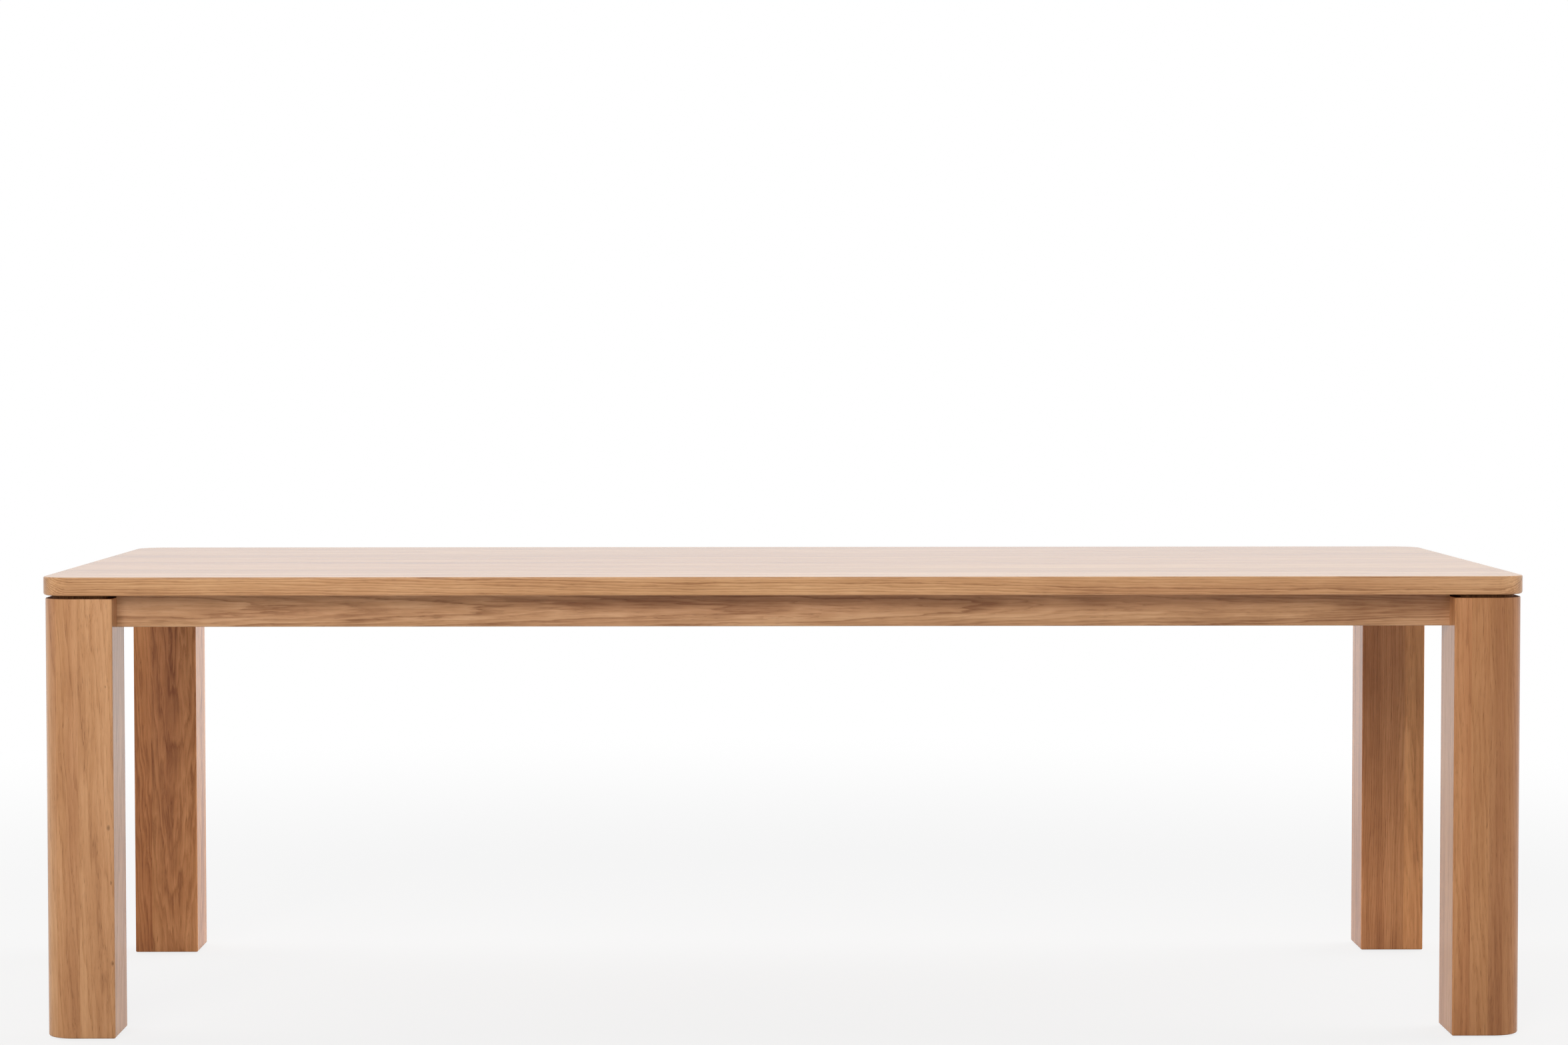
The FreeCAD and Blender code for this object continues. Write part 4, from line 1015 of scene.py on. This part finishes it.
def thread_rings(start, end, pitch, depth, point=0.0, chamfer=0.0):
    """Rings along a threaded rod. The radius is the full one less depth * |wave|, with the wave a saw of
    (length / pitch - angle / full turn). It closes to a point at the start and is chamfered at the
    end."""
    along = np.linspace(start, end, int((end - start) / pitch * ROWS_PER_PITCH) + 1)[:, None]
    angle = np.linspace(0, 2 * math.pi, BOLT_STEPS, endpoint=False)[None, :]
    wave = np.abs(((along / pitch - angle / (2 * math.pi)) % 1.0) * 2 - 1)
    limit = np.full_like(along, BOLT_RADIUS)
    if point:
        limit = np.minimum(limit, POINT_RADIUS + (BOLT_RADIUS - POINT_RADIUS) * (along - start) / point)
    if chamfer:
        limit = np.minimum(limit, BOLT_RADIUS - np.clip(along - (end - chamfer), 0, None))
    radius = np.minimum(BOLT_RADIUS - depth * wave, limit)
    along = np.broadcast_to(along, radius.shape)
    return np.stack([radius * np.cos(angle), radius * np.sin(angle), along], axis=-1)


print("a thread has", BOLT_STEPS, "points round and", ROWS_PER_PITCH, "rings to a turn")

# %% [markdown]
# Fasteners are made upright on the origin. One helper stands them on their seat along their own axis, and
# one repeats a corner's fastener at all four corners. Nobody lines up hidden bolts, so each gets its own
# twist from a seeded draw.

# %% Hanger bolts
BOLT_IN_LEG, BOLT_OUTSIDE, WOOD_END, MACHINE_START = 0.050, 0.0201, -0.004, -0.002
WOOD_PITCH, WOOD_DEPTH, MACHINE_PITCH, MACHINE_DEPTH = 0.0032, 0.0011, 0.00125, 0.0007
POINT_LENGTH, CHAMFER, THREAD_SHARP = 0.006, 0.001, 60.0
BOLT_HEIGHTS, BOLT_WAY = (0.6825, 0.7045), (1, 1, 0)
NEARLY_UPRIGHT, TWIST_SEED = 0.9, 7


def stood(rings, foot, axis, twist=0.0):
    """Rings made about the third axis, twisted by an angle and stood on foot along axis."""
    axis = np.asarray(axis, float) / np.linalg.norm(axis)
    side = np.cross(axis, (0, 0, 1) if abs(axis[2]) < NEARLY_UPRIGHT else (1, 0, 0))
    side /= np.linalg.norm(side)
    other = np.cross(axis, side)
    first = side * math.cos(twist) + other * math.sin(twist)
    second = other * math.cos(twist) - side * math.sin(twist)
    return rings @ np.stack([first, second, axis]) + np.asarray(foot)


def at_corners(rings, foot, axis, twists):
    """A corner's fastener at all four corners, each with its own twist."""
    for corner, twist in zip(CORNERS, twists):
        turns, shift = corner_place(corner)
        yield quarter_turned(stood(rings, foot, axis, twist), turns) + shift


draw = np.random.default_rng(TWIST_SEED)
bolt = np.concatenate([
    thread_rings(-BOLT_IN_LEG, WOOD_END, WOOD_PITCH, WOOD_DEPTH, point=POINT_LENGTH),
    thread_rings(MACHINE_START, BOLT_OUTSIDE, MACHINE_PITCH, MACHINE_DEPTH, chamfer=CHAMFER),
])
bolt_skins = []
for height in BOLT_HEIGHTS:
    twists = draw.uniform(0, 2 * math.pi, len(CORNERS))
    foot = (FLAT_SUM / 2, FLAT_SUM / 2, height)
    bolt_skins += [skin(rings) for rings in at_corners(bolt, foot, BOLT_WAY, twists)]
piece("hanger_bolts_dressed", bolt_skins, zinc.material, "hanger_bolts", THREAD_SHARP)
print("bolts:", len(bolt_skins), "of", len(bolt), "rings")

# %% [markdown]
# A nut is a hexagon with its points turned off by a cone, which leaves a curved edge on each flat. In polar
# form a hexagon's radius is half its width over the cosine of the angle from the nearest flat, and the cone
# lowers the rim in step with that radius, so the curved edges come out by themselves.

# %% Nuts
NUT_WIDTH, NUT_HEIGHT, NUT_BORE, NUT_LEAD, NUT_STEPS = 0.013, 0.0065, 0.0041, 0.0005, 48
CONE_FACE, CONE_SLOPE, NUT_SHARP = 0.97, math.tan(math.radians(30)), 20.0
SPACE_BEHIND, BRACKET_STEEL, WASHER = 0.006, 0.003, 0.0016
NUT_REACH = FLAT_SUM / 2 + (SPACE_BEHIND + BRACKET_STEEL + WASHER) / math.sqrt(2)


def nut_rings():
    """Rings from the lower edge of the bore out over the faces and back to its upper edge."""
    angle = np.linspace(0, 2 * math.pi, NUT_STEPS, endpoint=False)
    from_flat = (angle + math.pi / 6) % (math.pi / 3) - math.pi / 6
    hexagon = NUT_WIDTH / 2 / np.cos(from_flat)
    even = np.ones(NUT_STEPS)
    bore, lead, face = NUT_BORE * even, (NUT_BORE + NUT_LEAD) * even, NUT_WIDTH / 2 * CONE_FACE * even
    drop = (hexagon - face) * CONE_SLOPE
    radii = np.stack([bore, lead, face, hexagon, hexagon, face, lead, bore])
    lower = np.stack([NUT_LEAD * even, 0 * even, 0 * even, drop])
    heights = np.concatenate([lower, NUT_HEIGHT - lower[::-1]])
    return np.stack([radii * np.cos(angle), radii * np.sin(angle), heights], axis=-1)


nut, nut_skins = nut_rings(), []
for height in BOLT_HEIGHTS:
    twists = draw.uniform(0, math.pi / 3, len(CORNERS))
    placed = at_corners(nut, (NUT_REACH, NUT_REACH, height), BOLT_WAY, twists)
    nut_skins += [skin(rings, wrap=True) for rings in placed]
piece("bolt_nuts_dressed", nut_skins, zinc.material, "bolt_nuts", NUT_SHARP)
print("nuts:", len(nut_skins))

# %% [markdown]
# The screws have low domed heads with a cross recess. In polar form the edge of a cross is the nearer of
# its arm's side and its arm's end, so the recess is two more rings of the same stack: its edge on the dome
# and its narrower floor below. The rings run from the floor of the recess over the head and down the shank
# to the point.

# %% Screws: shape
RECESS_ARM, RECESS_HALF, RECESS_DEPTH, RECESS_TAPER = 0.50, 0.13, 0.55, 0.72
BETWEEN_ARMS, DOME_FALL, DOME_FROM, DOME_RINGS = (0.38, 0.55), 0.6, 0.58, 5
SCREW_POINT, SCREW_TIP, TINY = 0.004, 0.0002, 1e-6


def recess_angles():
    """Angles round the head, closer together at the corners of the cross, for four arms."""
    corner = math.atan2(RECESS_HALF, RECESS_ARM)
    half = np.array([corner / 2, corner, *BETWEEN_ARMS])
    quarter = np.concatenate([[-math.pi / 4], -half[::-1], [0], half])
    return (quarter[None, :] + np.arange(4)[:, None] * math.pi / 2).ravel()


def screw_rings(radius, head_radius, head_height, length):
    """A screw along the third axis, its head's underside at 0 and its point at length. The dome's height
    falls with the square of the distance from the middle, from the full head to two fifths of it at the
    brim."""
    angle = recess_angles()
    even = np.ones_like(angle)
    in_arm = (angle + math.pi / 4) % (math.pi / 2) - math.pi / 4
    arm_side = RECESS_HALF / np.maximum(np.abs(np.sin(in_arm)), TINY)
    cross = head_radius * np.minimum(RECESS_ARM / np.cos(in_arm), arm_side)
    rim = np.linspace(DOME_FROM, 1.0, DOME_RINGS)[:, None] * head_radius * even
    dome = np.concatenate([[cross], rim])
    shank = np.array([head_radius, radius, radius, SCREW_TIP])[:, None] * even
    radii = np.concatenate([[cross * RECESS_TAPER], dome, shank])
    levels = np.concatenate([
        [even * -head_height * (1 - RECESS_DEPTH)],
        -head_height * (1 - DOME_FALL * (dome / head_radius) ** 2),
        np.array([0, 0, length - SCREW_POINT, length])[:, None] * even,
    ])
    return np.stack([radii * np.cos(angle), -radii * np.sin(angle), levels], axis=-1)


print("a screw has", len(recess_angles()), "points round its head")

# %% [markdown]
# Each group of screws sits where its holes are. Four hold each bracket to its two aprons, two to a side.

# %% Bracket screws
APRON_INNER, BRACKET_SCREW_PLACE, BRACKET_SCREW_HEIGHTS = 0.070, 0.16448528, (0.6835, 0.7035)
SMALL_SHANK, SMALL_HEAD, SMALL_DOME, BRACKET_SCREW = 0.002, 0.004, 0.0026, 0.021

screw = screw_rings(SMALL_SHANK, SMALL_HEAD, SMALL_DOME, BRACKET_SCREW)
seat = APRON_INNER + BRACKET_STEEL
screw_skins = []
for height in BRACKET_SCREW_HEIGHTS:
    ways = {(0, -1, 0): (BRACKET_SCREW_PLACE, seat, height), (-1, 0, 0): (seat, BRACKET_SCREW_PLACE, height)}
    for axis, foot in ways.items():
        twists = draw.uniform(0, 2 * math.pi, len(CORNERS))
        screw_skins += [skin(rings) for rings in at_corners(screw, foot, axis, twists)]
piece("bracket_screws_dressed", screw_skins, zinc.material, "bracket_screws")
print("bracket screws:", len(screw_skins))

# %% [markdown]
# One screw goes up through each clip into the top: five clips along a long apron and two along an end
# apron.

# %% Clip screws
CLIP_STEEL, CLIP_LINE, CLIP_SCREW = 0.0016, 0.0428, 0.0176
LONG_SPAN = 2.164
LONG_CLIPS, END_CLIPS = np.array([-0.42, -0.25, 0.0, 0.25, 0.42]) * LONG_SPAN, np.array([-0.1875, 0.1875])

screw = screw_rings(SMALL_SHANK, SMALL_HEAD, SMALL_DOME, CLIP_SCREW)
screw_skins = []
for turns, _, out in SIDES.values():
    for place in LONG_CLIPS if turns % 2 == 0 else END_CLIPS:
        foot = (place, CLIP_LINE - out, UNDERSIDE - CLIP_STEEL)
        standing = stood(screw, foot, (0, 0, 1), draw.uniform(0, 2 * math.pi))
        screw_skins.append(skin(quarter_turned(standing, turns)))
piece("clip_screws_dressed", screw_skins, zinc.material, "clip_screws")
print("clip screws:", len(screw_skins))

# %% [markdown]
# Four larger screws go up through the slots of each bearer. The slots let the top swell and shrink across
# its grain.

# %% Bearer screws
BEARER_PLACES, SLOT_SEAT = (-LONG_SPAN / 6, LONG_SPAN / 6), 0.695
SLOT_PLACES = (-0.3125, -0.0625, 0.0625, 0.3125)
LARGE_SHANK, LARGE_HEAD, LARGE_DOME, BEARER_SCREW = 0.0025, 0.006, 0.0035, 0.041

screw = screw_rings(LARGE_SHANK, LARGE_HEAD, LARGE_DOME, BEARER_SCREW)
screw_skins = [
    skin(stood(screw, (x, y, SLOT_SEAT), (0, 0, 1), draw.uniform(0, 2 * math.pi)))
    for x in BEARER_PLACES for y in SLOT_PLACES
]
piece("bearer_screws_dressed", screw_skins, zinc.material, "bearer_screws")
print("bearer screws:", len(screw_skins))

# %% [markdown]
# The dressed table has to keep the size of the measured one, so the box of everything it shows is measured
# here.

# %% Measure and finish
low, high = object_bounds()
